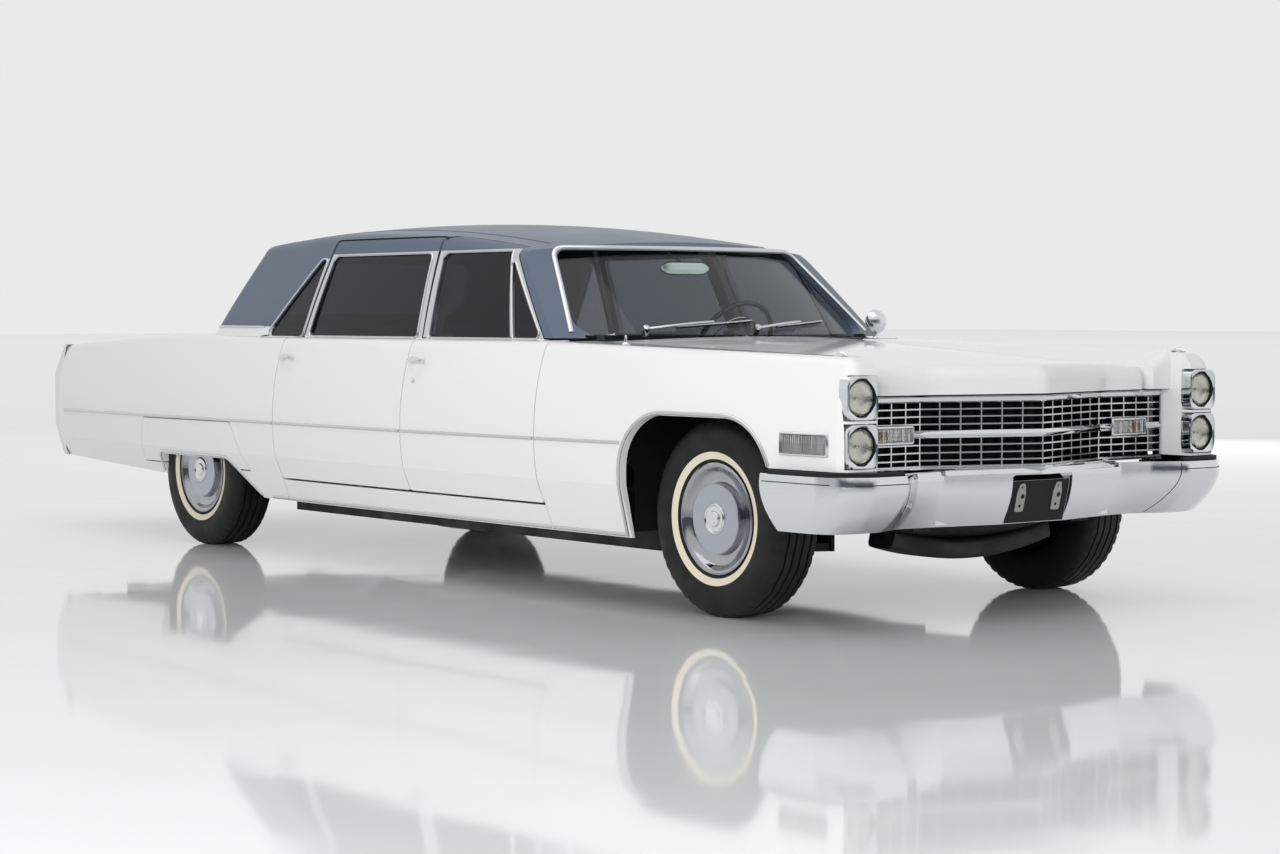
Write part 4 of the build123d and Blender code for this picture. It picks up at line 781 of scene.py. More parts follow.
class LIMOUSINE_OT_grille(LimousineOperator, bpy.types.Operator):
    """Header, foot, centre bar and end posts of the prow grille, and a black sheet behind them as painted
    shade
    """
    bl_idname = "limousine.grille"
    bl_label = "Grille"

    def build(self, sizes):
        half = [(front(0.752), 0.0), (front(0.600), 0.455), (front(0.600), 0.797)]
        line = rounded_line([(x, -y) for x, y in half[::-1]] + half[1:], step=0.02)

        def along(z, setback):
            return at(line[:, 0] - setback, line[:, 1], z)

        ahead = (1, 0, 0)
        header = np.array([(0.011, -0.012), (0.011, 0.004), (0.007, 0.009), (-0.006, 0.011), (-0.011, 0.007),
                           (-0.011, -0.012)])
        foot = np.array([(0.006, -0.02), (0.006, 0.004), (0.002, 0.009), (-0.004, 0.009), (-0.006, 0.004),
                         (-0.006, -0.02)])
        ridge = np.array([(0.014, -0.012), (0.013, 0.004), (0.004, 0.012), (0.0, 0.0145), (-0.004, 0.012),
                          (-0.013, 0.004), (-0.014, -0.012)])
        for name, z, profile in (("header", 0.7895, header), ("foot", 0.546, foot),
                                 ("centre_bar", 0.667, ridge)):
            piece("grille_" + name, swept(along(z, 0.0), ahead, profile), "buffed chrome plate", smooth=25)
        post = at(front(0.602), 0.791, np.linspace(0.541, 0.787, 24))
        pair("grille_end_post", swept(post, ahead, plate(0.016, 0.024, 0.005)), "buffed chrome plate")
        # A black sheet 60 mm behind the front: painted shade in the grille's cells
        piece("grille_painted_shade_sheet", swept(along(0.672, 0.06), ahead, plate(0.25, 0.006, 0.002)),
              "soft black rubber", slot="frame_black")


def strip(name, nodes, corners, body, profile):
    """A moulding laid along corners (x, z, radius) on the left skin, and its mirror image."""
    path, normal = on_side(nodes, rounded_line(corners, step=0.02))
    pair(name, swept(path, normal, profile), "rolled stainless trim", body, smooth=50)


class LIMOUSINE_OT_mouldings(LimousineOperator, bpy.types.Operator):
    """Bright strips along the body side, the wheel openings and the sill"""
    bl_idname = "limousine.mouldings"
    bl_label = "Body mouldings"

    def build(self, sizes):
        level_x = np.array((front(-5.135), front(-2.968), front(-1.881), front(-0.946), front(-0.432)))
        level_z = np.array((0.596, 0.605, 0.607, 0.611, 0.614))
        profile = bead(sizes.moulding_width, 0.007)
        gap = 0.006
        spans = (("fender", "front_fender_left", "car_body", A_CUT + gap, front(-0.432)),
                 ("front_door", "door_front_left", "front_door_", B_CUT + gap, A_CUT - gap),
                 ("rear_door", "door_rear_left", "rear_door_", C_CUT + gap, B_CUT - gap),
                 ("quarter", "quarter_panel_left", "car_body", front(-5.205), C_CUT - gap))
        for name, node, body, x0, x1 in spans:
            ends = [(x, float(np.interp(x, level_x, level_z))) for x in (x0, x1)]
            strip("side_moulding_" + name, [node], ends, body, profile)
        lip = bead(sizes.arch_width, 0.009)
        off = 0.009
        arch = [(front(-0.484) - off, 0.262), (front(-0.440) - off, 0.470),
                (front(-0.402) - off, 0.722 + off, 0.239), (front(0.318) + off, 0.722 + off, 0.249),
                (front(0.368) + off, 0.562)]
        strip("front_arch_moulding", ["front_fender_left"], arch, "car_body", lip)
        for name, node, x0, x1 in (("quarter", "quarter_panel_left", rear(0.7), C_CUT - gap),
                                   ("door", "side_frame_left", C_CUT + gap, A_CUT - gap),
                                   ("fender", "front_fender_left", A_CUT + gap, front(-0.492))):
            strip("sill_moulding_" + name, [node], [(x0, 0.266), (x1, 0.266)], "car_body", bead(0.016, 0.005))
        skirt = [(rear(-0.324), 0.338), (rear(-0.309), 0.4325, 0.045), (rear(0.389), 0.4335, 0.09),
                 (rear(0.612), 0.27)]
        strip("skirt_moulding", ["fender_skirts", "quarter_panel_left"], skirt, "car_body", lip)


def a_line(z):
    """X of the front edge of the front door's upper frame."""
    return front(-1.080) - (z - BELT_Z) * 0.955


def b_line(z):
    """X of the shut line between the doors, above the belt."""
    return B_CUT - 0.022 - (z - BELT_Z) * 0.175


def c_line(z):
    """X of the shut line behind the rear door, above the belt."""
    return C_CUT + 0.072 + (z - BELT_Z) * 0.085


class LIMOUSINE_OT_windows(LimousineOperator, bpy.types.Operator):
    """Beads round the side windows, the windshield and the back glass"""
    bl_idname = "limousine.windows"
    bl_label = "Window trim"

    def build(self, sizes):
        low, high = GLASS_LOW, GLASS_HIGH
        front_window = [(b_line(low) + 0.048, low, 0.012), (b_line(high) + 0.048, high, 0.03),
                        (a_line(high) - 0.042, high), (front(-1.305), low)]
        vent = [(front(-1.283), low, 0.008), (a_line(high) - 0.017, high - 0.024, 0.006),
                (a_line(low) - 0.024, low, 0.014)]
        rear_pane = [(c_line(low) + 0.046, low, 0.012), (c_line(high) + 0.046, high, 0.03),
                     (b_line(high) - 0.046, high, 0.03), (b_line(low) - 0.046, low, 0.012)]
        q_low, q_high = 0.988, 1.326
        quarter = [(c_line(q_low) - 0.355, q_low, 0.02), (c_line(q_high) - 0.066, q_high, 0.026),
                   (c_line(q_high) - 0.024, q_high, 0.012), (c_line(q_low) - 0.024, q_low, 0.01)]
        profile = bead(sizes.window_bead, 0.005)
        reveal = sizes.window_bead / 2 + 0.002
        plans = (("front_window", ["door_front_left"], front_window, "front_door_"),
                 ("vent_window", ["door_front_left"], vent, "front_door_"),
                 ("rear_door_window", ["door_rear_left"], rear_pane, "rear_door_"),
                 ("quarter_window", ["roof", "quarter_panel_left"], quarter, "car_body"))
        for name, nodes, outline, body in plans:
            path, normal = on_side(nodes, rounded_line(grown(outline, reveal), closed=True))
            pair(name + "_bead", swept(path, normal, profile, closed=True), "rolled stainless trim", body,
                 smooth=50)
        post = [(c_line(z) - 0.0115, z) for z in (0.99, 1.332)]
        strip("quarter_post", ["roof", "quarter_panel_left"], post, "car_body", bead(0.017, 0.004))
        wind = [(-0.772, 1.004, 0.05), (-0.622, 1.346, 0.06), (0.622, 1.346, 0.06), (0.772, 1.004, 0.05)]
        line = rounded_line(grown(wind, 0.011))
        line = line[line[:, 1] > 1.006]
        path, normal = on_face(["roof"], line, 1)
        piece("windshield_bead", swept(path, normal, bead(0.022, 0.007)), "rolled stainless trim")
        back = [(-0.600, 1.085, 0.06), (0.600, 1.085, 0.06), (0.520, 1.330, 0.07), (-0.520, 1.330, 0.07)]
        path, normal = on_face(["roof"], rounded_line(grown(back, 0.010), closed=True), -1)
        piece("back_glass_bead", swept(path, normal, bead(0.02, 0.007), closed=True), "rolled stainless trim")


class LIMOUSINE_OT_handles(LimousineOperator, bpy.types.Operator):
    """Lever handles and locks on the doors"""
    bl_idname = "limousine.handles"
    bl_label = "Door handles"

    def build(self, sizes):
        for name, x_rear, node, body in (("front", front(-1.868), "door_front_left", "front_door_"),
                                         ("rear", front(-2.925), "door_rear_left", "rear_door_")):
            x = np.linspace(x_rear, x_rear + 0.125, 25)
            share = np.linspace(0, 1, 25)
            path, normal = on_side([node], at(x, 0.894))
            lift = 0.012 + 0.022 * np.sin(np.pi * np.clip(share * 0.75 + 0.05, 0, 1))
            lever = swept(path + normal * lift[:, None], normal, plate(0.02, 0.009, 0.0042),
                          swell=0.75 + 0.35 * np.sin(np.pi * share) ** 0.6)
            post = turned([(0.0, -0.004), (0.013, -0.004), (0.0125, 0.004), (0.009, 0.02), (0.0, 0.022)], 24,
                          path[4], normal[4])
            far = turned([(0.0, -0.004), (0.009, -0.004), (0.008, 0.004), (0.006, 0.02), (0.0, 0.022)], 24,
                         path[20], normal[20])
            pair(f"door_handle_{name}", joined(lever, post, far), "buffed chrome plate", body)
            if name == "front":
                spot, out = on_side([node], np.array([(x_rear + 0.05, 0.815)]))
                lock = turned([(0.0, -0.003), (0.012, -0.003), (0.0115, 0.003), (0.008, 0.005), (0.0, 0.004)],
                              24, spot[0], out[0])
                pair("door_lock", lock, "buffed chrome plate", body)


class LIMOUSINE_OT_wipers(LimousineOperator, bpy.types.Operator):
    """Parked wipers with bright arms"""
    bl_idname = "limousine.wipers"
    bl_label = "Wipers"

    def build(self, sizes):
        for name, start, end in (("right", (-0.48, 1.012), (0.02, 1.045)),
                                 ("left", (0.02, 1.014), (0.47, 1.042))):
            share = np.linspace(0, 1, 40)
            yz = np.stack([np.interp(share, (0, 1), (start[0], end[0])),
                           np.interp(share, (0, 1), (start[1], end[1])) + 0.008], 1)
            path, normal = on_face(["windshield"], yz, 1)
            arm = swept(path[:24] + normal[:24] * (0.012 + 0.012 * np.sin(np.pi * share[:24, None])),
                        normal[:24], plate(0.011, 0.006, 0.0025), swell=1.15 - 0.5 * share[:24])
            spine = swept(path[10:] + normal[10:] * 0.011, normal[10:], plate(0.006, 0.005, 0.002))
            cap = turned([(0.0, -0.02), (0.016, -0.02), (0.016, 0.012), (0.012, 0.022), (0.0, 0.024)], 24,
                         path[0], normal[0])
            piece(f"wiper_arm_{name}", joined(arm, spine, cap), "rolled stainless trim")
            blade = swept(path[10:] + normal[10:] * 0.0055, normal[10:], plate(0.004, 0.0095, 0.0015))
            piece(f"wiper_blade_{name}", blade, "soft black rubber")


class LIMOUSINE_OT_mirrors(LimousineOperator, bpy.types.Operator):
    """The driver's door mirror"""
    bl_idname = "limousine.mirrors"
    bl_label = "Mirrors"

    def build(self, sizes):
        hub = np.array((front(-1.13), 0.945, 1.052))
        aim = unit(np.array((1.0, 0.12, 0.0)))
        head = [(0.0, 0.042), (0.02, 0.04), (0.04, 0.03), (0.052, 0.014), (0.056, -0.004), (0.054, -0.012),
                (0.05, -0.012), (0.0, -0.01)]
        foot, _ = on_top(["door_front_left"], np.array([(front(-1.11), 0.925)]))
        stem = np.linspace(foot[0] - (0, 0, 0.004), hub + (0, 0, -0.03), 12)
        post = swept(stem, (1, 0, 0), rod(0.009), swell=np.linspace(1.9, 0.9, 12))
        piece("door_mirror", joined(turned(head, 48, hub, aim), post), "buffed chrome plate",
              "front_door_left")
        glass = [(0.0, -0.0128), (0.047, -0.0128), (0.047, -0.0105), (0.0, -0.0105)]
        piece("door_mirror_glass", turned(glass, 48, hub, aim), "mirror glass", "front_door_left")


class LIMOUSINE_OT_cabin(LimousineOperator, bpy.types.Operator):
    """Steering wheel with its grips, spokes and horn ring"""
    bl_idname = "limousine.cabin"
    bl_label = "Steering wheel"

    def build(self, sizes):
        hub = np.array((front(-1.420), 0.385, 0.96))
        lean = math.radians(62)
        axis = np.array((-math.sin(lean), 0, math.cos(lean)))
        up = np.cross(axis, (0, 1, 0))
        t = np.arange(120) * 2 * np.pi / 120
        around = np.cos(t)[:, None] * up + np.sin(t)[:, None] * np.array((0, 1, 0))
        grip = 1 + 0.08 * np.cos(30 * t)
        rim = swept(hub + 0.196 * around, axis, rod(0.011, 14), closed=True, swell=grip)
        bar_share = np.linspace(-1, 1, 41)
        bar = hub + np.outer(bar_share * 0.19, (0, 1, 0)) - np.outer(0.02 * (1 - bar_share ** 2), axis)
        spokes = swept(bar, axis, plate(0.034, 0.01, 0.004), swell=1.3 - 0.5 * np.abs(bar_share))
        boss = turned([(0.0, -0.095), (0.033, -0.095), (0.034, -0.03), (0.05, -0.008), (0.046, 0.004),
                       (0.0, 0.01)], 40, hub, axis)
        piece("steering_rim", joined(rim, spokes, boss), "moulded wheel plastic", "steering_wheel",
              hides=("steering_wheel",))
        ring = swept(hub + 0.125 * around + axis * 0.004, axis, rod(0.005), closed=True)
        piece("horn_ring", ring, "buffed chrome plate", "steering_wheel")


class LIMOUSINE_OT_nose(LimousineOperator, bpy.types.Operator):
    """Rolled fender ends beside the hood, fender-top indicators and the aerial's foot"""
    bl_idname = "limousine.nose"
    bl_label = "Fender noses"

    def build(self, sizes):
        # Rolled end: a quarter of a superellipse of the sixth power that follows the fender's slope across
        y = np.linspace(0.7045, 0.7995, 12)[:, None]
        t = np.linspace(0, np.pi / 2, 25)[None]
        top = 0.8875 + (y - 0.69) / 0.14 * 0.08 + 0.004
        reach, floor = 0.070, 0.8065
        x = front(0.578) + reach * np.cos(t) ** (1 / 3) + 0 * y
        z = floor + (top - floor) * np.sin(t) ** (1 / 3)
        x = np.concatenate([np.full_like(y, front(0.578)), x], 1)
        z = np.concatenate([np.full_like(y, floor), z], 1)
        grid = at(x, y, z)
        pair("fender_nose", skinned(grid, wrap_cols=True, capped=True), "polished white lacquer")
        spot = np.linspace(front(0.60), front(0.665), 20)
        path, normal = on_top(["front_fender_left"], at(spot, 0.862))
        share = np.linspace(0, 1, 20)
        taper = np.clip(np.sin(np.pi * (share * 0.8 + 0.1)), 0.1, 1)
        pair("fender_indicator", swept(path, normal, bead(0.016, 0.017), swell=taper), "buffed chrome plate")
        foot, out = on_top(["front_fender_left"], np.array([(front(-0.547), 0.872)]))
        base = turned([(0.0, -0.003), (0.016, -0.003), (0.016, 0.002), (0.011, 0.008), (0.006, 0.01),
                       (0.0035, 0.03), (0.0045, 0.034), (0.0, 0.038)], 28, foot[0], out[0])
        piece("aerial_foot", mirrored(base), "buffed chrome plate")


BUMPER_LINE = [(0.358, 0.990), (0.640, 0.987, 0.12), (0.762, 0.958, 0.09), (0.8115, 0.872, 0.06),
               (0.8115, 0.716, 0.04), (0.738, 0.600, 0.06), (0.704, 0.455, 0.06), (0.778, 0.0, 0.2)]


class LIMOUSINE_OT_bumper_trim(LimousineOperator, bpy.types.Operator):
    """Shelf, painted crease shade, seam line and plate brackets of the front bumper"""
    bl_idname = "limousine.bumper_trim"
    bl_label = "Bumper trim"

    def build(self, sizes):
        half = [(front(x), y, *r) for x, y, *r in BUMPER_LINE]
        whole = half + [(x, -y, *r) for x, y, *r in half[-2::-1]]
        line = rounded_line(whole, step=0.02)
        along = unit(np.gradient(line, axis=0))
        inward = np.stack([along[:, 1], -along[:, 0]], 1)
        middle_part = np.abs(line[:, 1]) < 0.455
        level = np.where(middle_part, 0.5235, 0.5385)
        depth = np.array((0.014, 0.022, 0.030, 0.05, 0.075))
        ramp = np.where(middle_part, 0.0175, 0.0)[:, None] * np.clip((depth - 0.014) / 0.016, 0, 1)
        grid = np.concatenate([line[:, None] + inward[:, None] * depth[None, :, None],
                               (level[:, None] + ramp)[..., None]], -1)
        piece("bumper_shelf", slab(grid, grid - (0, 0, 0.003)), "buffed chrome plate")
        # Black gasket under the fender's lower edge, which also stands as painted shadow in the gap between
        # body and bumper
        kept = (line[:, 1] > 0.70) & (line[:, 0] > front(0.42))
        end = line[kept] - (0.026, 0)
        path = at(*end.T, 0.5475)
        out = at(*-inward[kept].T, 0)
        pair("bumper_gasket_and_gap_shade", swept(path, out, plate(0.016, 0.02, 0.004)), "soft black rubber")
        # Black hairlines: painted shade along a level crease below the top of each end, and the seam to the
        # middle section as a dark joint
        hair = bead(0.0035, 0.0008, 0.001, 5)
        steel = ["front_bumper"]
        z = np.linspace(0.536, 0.348, 40)
        lines = (("crease_shade_side", on_side(steel, at(np.linspace(front(0.37), front(0.70), 50), 0.514))),
                 ("crease_shade_front", on_face(steel, at(np.linspace(0.93, 0.705, 40), 0.514), 1)),
                 ("seam", on_face(steel, np.stack([0.695 - 0.05 * ((0.536 - z) / 0.19) ** 2, z], 1), 1)))
        for name, (path, normal) in lines:
            pair("bumper_" + name, swept(path, normal, hair), "soft black rubber")
        # Plate recess: a black board on the sloping bracket and two pale hangers with holes
        tilt = np.array((0.036, 0.0, 0.153)) / math.hypot(0.036, 0.153)
        out = np.array((tilt[2], 0.0, -tilt[0]))
        foot = np.array((front(0.7065), 0.0, 0.347))
        across = np.linspace(-0.149, 0.149, 9)[:, None, None] * np.array((0.0, 1.0, 0.0))
        rise = np.linspace(0.0, 0.154, 6)[None, :, None] * tilt
        board = foot + across + rise
        piece("plate_board", slab(board + out * 0.002, board), "soft black rubber")
        corners = [(-0.022, 0.042, 0.008), (0.022, 0.042, 0.008), (0.022, 0.112, 0.008),
                   (0.012, 0.146, 0.009), (-0.012, 0.146, 0.009), (-0.022, 0.112, 0.008)]
        hanger = rounded_line(corners, closed=True, step=0.004)
        for side, sign in SIDES:
            spots = foot + np.outer(hanger[:, 0] + sign * 0.092, (0, 1, 0)) + np.outer(hanger[:, 1], tilt)
            shape = skinned(np.stack([spots + out * 0.0015, spots + out * 0.0065]), wrap_cols=True,
                            capped=True)
            piece("plate_hanger_" + side, shape, "zinc plated steel", smooth=25)
            for number, (dy, dz, radius) in enumerate(((0.0, 0.063, 0.006), (0.008, 0.098, 0.009),
                                                       (0.0, 0.132, 0.004))):
                spot = foot + np.array((0, sign * 0.092 + dy, 0)) + tilt * dz
                dot = turned([(0.0, 0.005), (radius, 0.005), (radius, 0.0068), (0.0, 0.0068)], 20, spot, out)
                piece(f"plate_hole_{side}_{number}", dot, "soft black rubber")


class LIMOUSINE_OT_roof_trim(LimousineOperator, bpy.types.Operator):
    """Bright edge of the vinyl and sewn roof seams"""
    bl_idname = "limousine.roof_trim"
    bl_label = "Roof trim"

    def build(self, sizes):
        edge = bead(0.013, 0.006)
        x = np.linspace(front(-3.80), front(-3.26), 40)
        path, normal = on_side(["quarter_panel_left"], at(x, 1.028))
        pair("vinyl_edge", swept(path, normal, edge), "rolled stainless trim")
        y = np.linspace(0.74, -0.74, 120)
        path, normal = on_face(["roof", "rear_deck", "quarter_panel_left", "quarter_panel_right"],
                               at(y, 1.034), -1)
        piece("vinyl_edge_back", swept(path, normal, edge), "rolled stainless trim")
        # Sewn seams: a double welt from front to back on each side, set in from the roof's shoulder
        x = np.linspace(front(-1.44), rear(0.16), 120)
        for number, across in enumerate((0.565, 0.572)):
            path, normal = on_top(["roof"], at(x, across))
            pair(f"roof_welt_{number}", swept(path, normal, bead(0.004, 0.0022, 0.001, 6)),
                 "embossed slate vinyl")


class LIMOUSINE_OT_tail(LimousineOperator, bpy.types.Operator):
    """Tail lamp rims and bars, reversing lamps, trunk strips and lock, and blade fillers"""
    bl_idname = "limousine.tail"
    bl_label = "Tail"

    def build(self, sizes):
        low, high = (np.array(v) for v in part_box("tail_lamps"))
        y0, y1, z0, z1, x = 0.745, high[1], low[2], high[2], low[0]
        ring = rounded_line([(y0, z0, 0.012), (y1, z0, 0.012), (y1, z1, 0.012), (y0, z1, 0.012)], closed=True,
                            step=0.008)
        path = at(x - 0.001, *ring.T)
        pair("tail_lamp_rim", swept(path, (-1, 0, 0), bead(0.012, 0.004, 0.006), closed=True),
             "buffed chrome plate")
        bars = [swept(at(x, np.linspace(y0, y1, 8), z), (-1, 0, 0), bead(0.005, 0.003))
                for z in np.linspace(z0, z1, 6)[1:-1]]
        pair("tail_lamp_bars", joined(*bars), "buffed chrome plate")
        y = np.linspace(0.30, 0.46, 30)
        path, normal = on_face(["rear_bumper"], at(y, 0.455), -1)
        framed_lamp("reversing_lamp", path, normal, 0.05, 0.042, 18, "clear lamp lens")
        y = np.linspace(-0.62, 0.62, 80)
        for name, z, profile in (("upper", 0.655, bead(0.03, 0.008)), ("lower", 0.690, bead(0.008, 0.005))):
            path, normal = on_face(["trunk_lid"], at(y, z), -1)
            piece("trunk_strip_" + name, swept(path, normal, profile), "rolled stainless trim", "trunk_lid")
        spot, out = on_face(["trunk_lid"], np.array([(0.0, 0.735)]), -1)
        lock = turned([(0.0, -0.004), (0.03, -0.004), (0.031, 0.003), (0.026, 0.007), (0.018, 0.0075),
                       (0.016, 0.005), (0.0, 0.0055)], 40, spot[0], out[0])
        piece("trunk_lock", lock, "buffed chrome plate", "trunk_lid")
        # Filler in body colour between each blade and the quarter panel ahead of it
        z = np.linspace(0.40, 0.92, 40)
        blade_z = (0.364, 0.505, 0.810, 0.931)
        blade_x = (rear(-1.480), rear(-1.488), rear(-1.488), rear(-1.480))
        line = at(np.interp(z, blade_z, blade_x), 0.775, z)
        pair("blade_filler", swept(line, (0, 1, 0), plate(0.03, 0.2, 0.004)), "polished white lacquer")


def bench_pad(section, half, pitch, crown, channel):
    """A stuffed bench pad. A closed section (x, z, radius) runs across the car; towards each end it shrinks
    about its middle by a tenth-power curve; it swells by a crown that is largest in the middle, and sewn
    channels a pitch apart press in as narrow valleys."""
    loop = rounded_line(section, closed=True, step=0.018)
    core = loop.mean(0)
    y = np.linspace(-1, 1, max(60, int(2 * half / 0.011)))
    shrink = (1 - np.abs(y) ** 10) ** 0.25
    shrink[[0, -1]] = 0.12
    out = unit(loop - core)
    phase = np.abs((y * half / pitch) % 1.0 - 0.5) * 2
    valley = np.exp(-((1 - phase) / 0.12) ** 2)
    swell = crown * (1 - y ** 4) - channel * valley * (np.abs(y) < 0.95)
    kept = (0.55 + 0.45 * shrink)[:, None, None]
    spots = core + (loop - core)[None] * kept + out[None] * swell[:, None, None]
    grid = np.concatenate([spots[..., :1], np.repeat((y * half)[:, None, None], len(loop), 1),
                           spots[..., 1:]], -1)
    return skinned(grid, wrap_cols=True, capped=True)


class LIMOUSINE_OT_seats(LimousineOperator, bpy.types.Operator):
    """Stuffed bench seats with sewn channels, on plinths"""
    bl_idname = "limousine.seats"
    bl_label = "Seats"

    def build(self, sizes):
        plans = (
            ("front_seat", 0.675,
             [(front(-1.975), 0.36, 0.03), (front(-1.515), 0.365, 0.04), (front(-1.495), 0.455, 0.04),
              (front(-1.96), 0.425, 0.03)],
             [(front(-1.925), 0.40, 0.05), (front(-2.005), 0.905, 0.05), (front(-2.085), 0.905, 0.04),
              (front(-2.075), 0.42, 0.04)],
             (front(-2.05), front(-1.53), 0.302, 0.37)),
            ("rear_seat", 0.575,
             [(rear(0.30), 0.43, 0.03), (rear(0.735), 0.43, 0.04), (rear(0.755), 0.545, 0.04),
              (rear(0.28), 0.53, 0.03)],
             [(rear(0.245), 0.535, 0.05), (rear(0.128), 0.985, 0.05), (rear(0.02), 0.985, 0.05),
              (rear(0.12), 0.54, 0.04)],
             (rear(0.64), rear(0.73), 0.302, 0.44)))
        for node, half, cushion, back, plinth in plans:
            for part, section in (("cushion", cushion), ("back", back)):
                made = piece(f"{node}_{part}", bench_pad(section, half, 0.105, 0.010, 0.010),
                             "ribbed bench cloth", smooth=60, hides=(node,) if part == "cushion" else ())
            x0, x1, z0, z1 = plinth
            frame_line = at((x0 + x1) / 2, np.linspace(0.215, half - 0.02, 8), (z0 + z1) / 2)
            board = swept(frame_line, (0, 0, 1), plate(x1 - x0, z1 - z0, 0.012))
            pair(f"{node}_plinth", board, "stitched cabin vinyl")


def door_lining(name, node, body, x0, x1, low, high):
    """A trim board on a door's inside: its thickness rises from the edge to an even level, and a row of sewn
    pleats crosses its upper half. An armrest, a pull, a winder and a bright kick strip stand on it."""
    x, z = np.linspace(x0, x1, 60), np.linspace(low, high, 40)
    start = at(x, 0.45, z[:, None])
    spots = landed_grid([node], start, (0, 1, 0))
    u, v = np.linspace(0, 1, 60)[None], np.linspace(0, 1, 40)[:, None]
    edge = np.clip(np.minimum(np.minimum(u, 1 - u) * 18, np.minimum(v, 1 - v) * 12), 0, 1)
    pleat = 0.0028 * np.abs(np.sin(np.pi * 14 * u)) ** 0.6
    pleat = pleat * np.clip((v - 0.5) * 20, 0, 1) * np.clip((0.94 - v) * 20, 0, 1)
    inward = np.array((0.0, -1.0, 0.0))
    thick = (0.001 + 0.005 * np.sqrt(edge) + pleat * edge)[..., None]
    pair(f"{name}_lining", slab(spots + inward * thick, spots - inward * 0.001), "stitched cabin vinyl", body)
    arm = spots[20, 12:48] + inward * 0.034
    taper = np.clip(np.sin(np.linspace(0.12, np.pi - 0.12, 36)) ** 0.35, 0.3, 1)
    rest = swept(arm, inward, plate(0.045, 0.062, 0.018), swell=taper)
    pair(f"{name}_armrest", rest, "stitched cabin vinyl", body)
    hub = spots[24, 40] + inward * 0.006
    boss = turned([(0.0, -0.004), (0.02, -0.004), (0.018, 0.012), (0.008, 0.022), (0.0, 0.022)], 24, hub,
                  inward)
    crank = np.linspace(hub + inward * 0.018, hub + inward * 0.026 + (-0.02, 0, -0.085), 8)
    winder = joined(boss, swept(crank, inward, plate(0.012, 0.006, 0.0025)))
    pair(f"{name}_winder", winder, "buffed chrome plate", body)
    pull = spots[30, 14:24] + inward * 0.016
    pair(f"{name}_pull", swept(pull, inward, plate(0.02, 0.012, 0.005)), "buffed chrome plate", body)
    kick = spots[4, 3:57] + inward * 0.006
    pair(f"{name}_kick_strip", swept(kick, inward, bead(0.02, 0.003)), "rolled stainless trim", body)


class LIMOUSINE_OT_lining(LimousineOperator, bpy.types.Operator):
    """Door linings, headliner, toe board, dashboard trim and cabin mirror"""
    bl_idname = "limousine.lining"
    bl_label = "Linings"

    def build(self, sizes):
        door_lining("front_door", "door_front_left", "front_door_", B_CUT + 0.10, A_CUT - 0.12, 0.42, 0.93)
        door_lining("rear_door", "door_rear_left", "rear_door_", C_CUT + 0.10, B_CUT - 0.10, 0.42, 0.93)
        x, y = np.linspace(rear(0.20), front(-1.60), 40), np.linspace(-0.60, 0.60, 30)
        start = at(x[:, None], y, 1.15)
        spots = landed_grid(["roof"], start, (0, 0, 1))
        rib = 0.002 * np.abs(np.sin(np.pi * 6 * np.linspace(0, 1, 40)))[:, None]
        drop = at(0, 0, 0.004 + rib)
        piece("headliner", slab(spots - (0, 0, 0.001), spots - drop), "moulded headliner board")
        y, z = np.linspace(-0.66, 0.66, 24), np.linspace(0.29, 0.76, 12)
        toe = at(np.linspace(front(-0.955), front(-0.915), 12), y[:, None], z)
        piece("toe_board", slab(toe + (0.006, 0, 0), toe), "loop pile carpet")
        # Dashboard: a crash roll along the top edge, a bright fascia with dials and knobs, and a glove lid
        y = np.linspace(-0.70, 0.70, 90)
        roll = at(front(-1.196), y, 0.962)
        shape = swept(roll, (-0.6, 0, 0.8), rod(0.026, 16, 0.7),
                      swell=np.clip((1 - np.abs(y / 0.7) ** 12), 0.2, 1))
        piece("dash_roll", shape, "stitched cabin vinyl")
        face = at(front(-1.226), y * 0.97, 0.872)
        piece("dash_fascia", swept(face, (-1, 0, -0.2), plate(0.07, 0.02, 0.006)), "rolled stainless trim")
        for number, across in enumerate((0.52, 0.385, 0.25)):
            hub = np.array((front(-1.2345), across, 0.872))
            dial = [(0.0, 0.0), (0.03, 0.0), (0.031, 0.006), (0.028, 0.008), (0.026, 0.005), (0.0, 0.005)]
            piece(f"dash_dial_{number}", turned(dial, 36, hub, (-1, 0, -0.2)), "gloss black tin",
                  slot="trim_blue")
        for number, across in enumerate((0.14, 0.08, 0.0, -0.08, -0.14)):
            hub = np.array((front(-1.2345), across, 0.868))
            knob = [(0.0, 0.0), (0.011, 0.0), (0.012, 0.01), (0.009, 0.014), (0.0, 0.014)]
            piece(f"dash_knob_{number}", turned(knob, 20, hub, (-1, 0, -0.2)), "buffed chrome plate")
        lid = at(front(-1.214), np.linspace(-0.62, -0.24, 20), 0.805)
        piece("glove_lid", swept(lid, (-1, 0, 0.1), plate(0.05, 0.03, 0.008)), "stitched cabin vinyl")
        # Cabin mirror: a rounded bar on a stem from the windshield's header
        across = np.linspace(-0.125, 0.125, 40)
        bar = at(front(-1.275) - 0.06 * across ** 2, across, 1.276)
        ends = np.clip(1 - np.abs(across / 0.125) ** 8, 0.35, 1)
        piece("cabin_mirror", swept(bar, (1, 0, 0), plate(0.058, 0.02, 0.008), swell=ends),
              "buffed chrome plate")
        piece("cabin_mirror_glass", swept(bar[2:-2] - (0.0105, 0, 0), (-1, 0, 0), plate(0.046, 0.003, 0.001),
                                          swell=ends[2:-2]), "mirror glass")
        stem = np.linspace((front(-1.285), 0.0, 1.29), (front(-1.40), 0.0, 1.362), 10)
        piece("cabin_mirror_stem", swept(stem, (0, 1, 0), rod(0.006)), "buffed chrome plate")


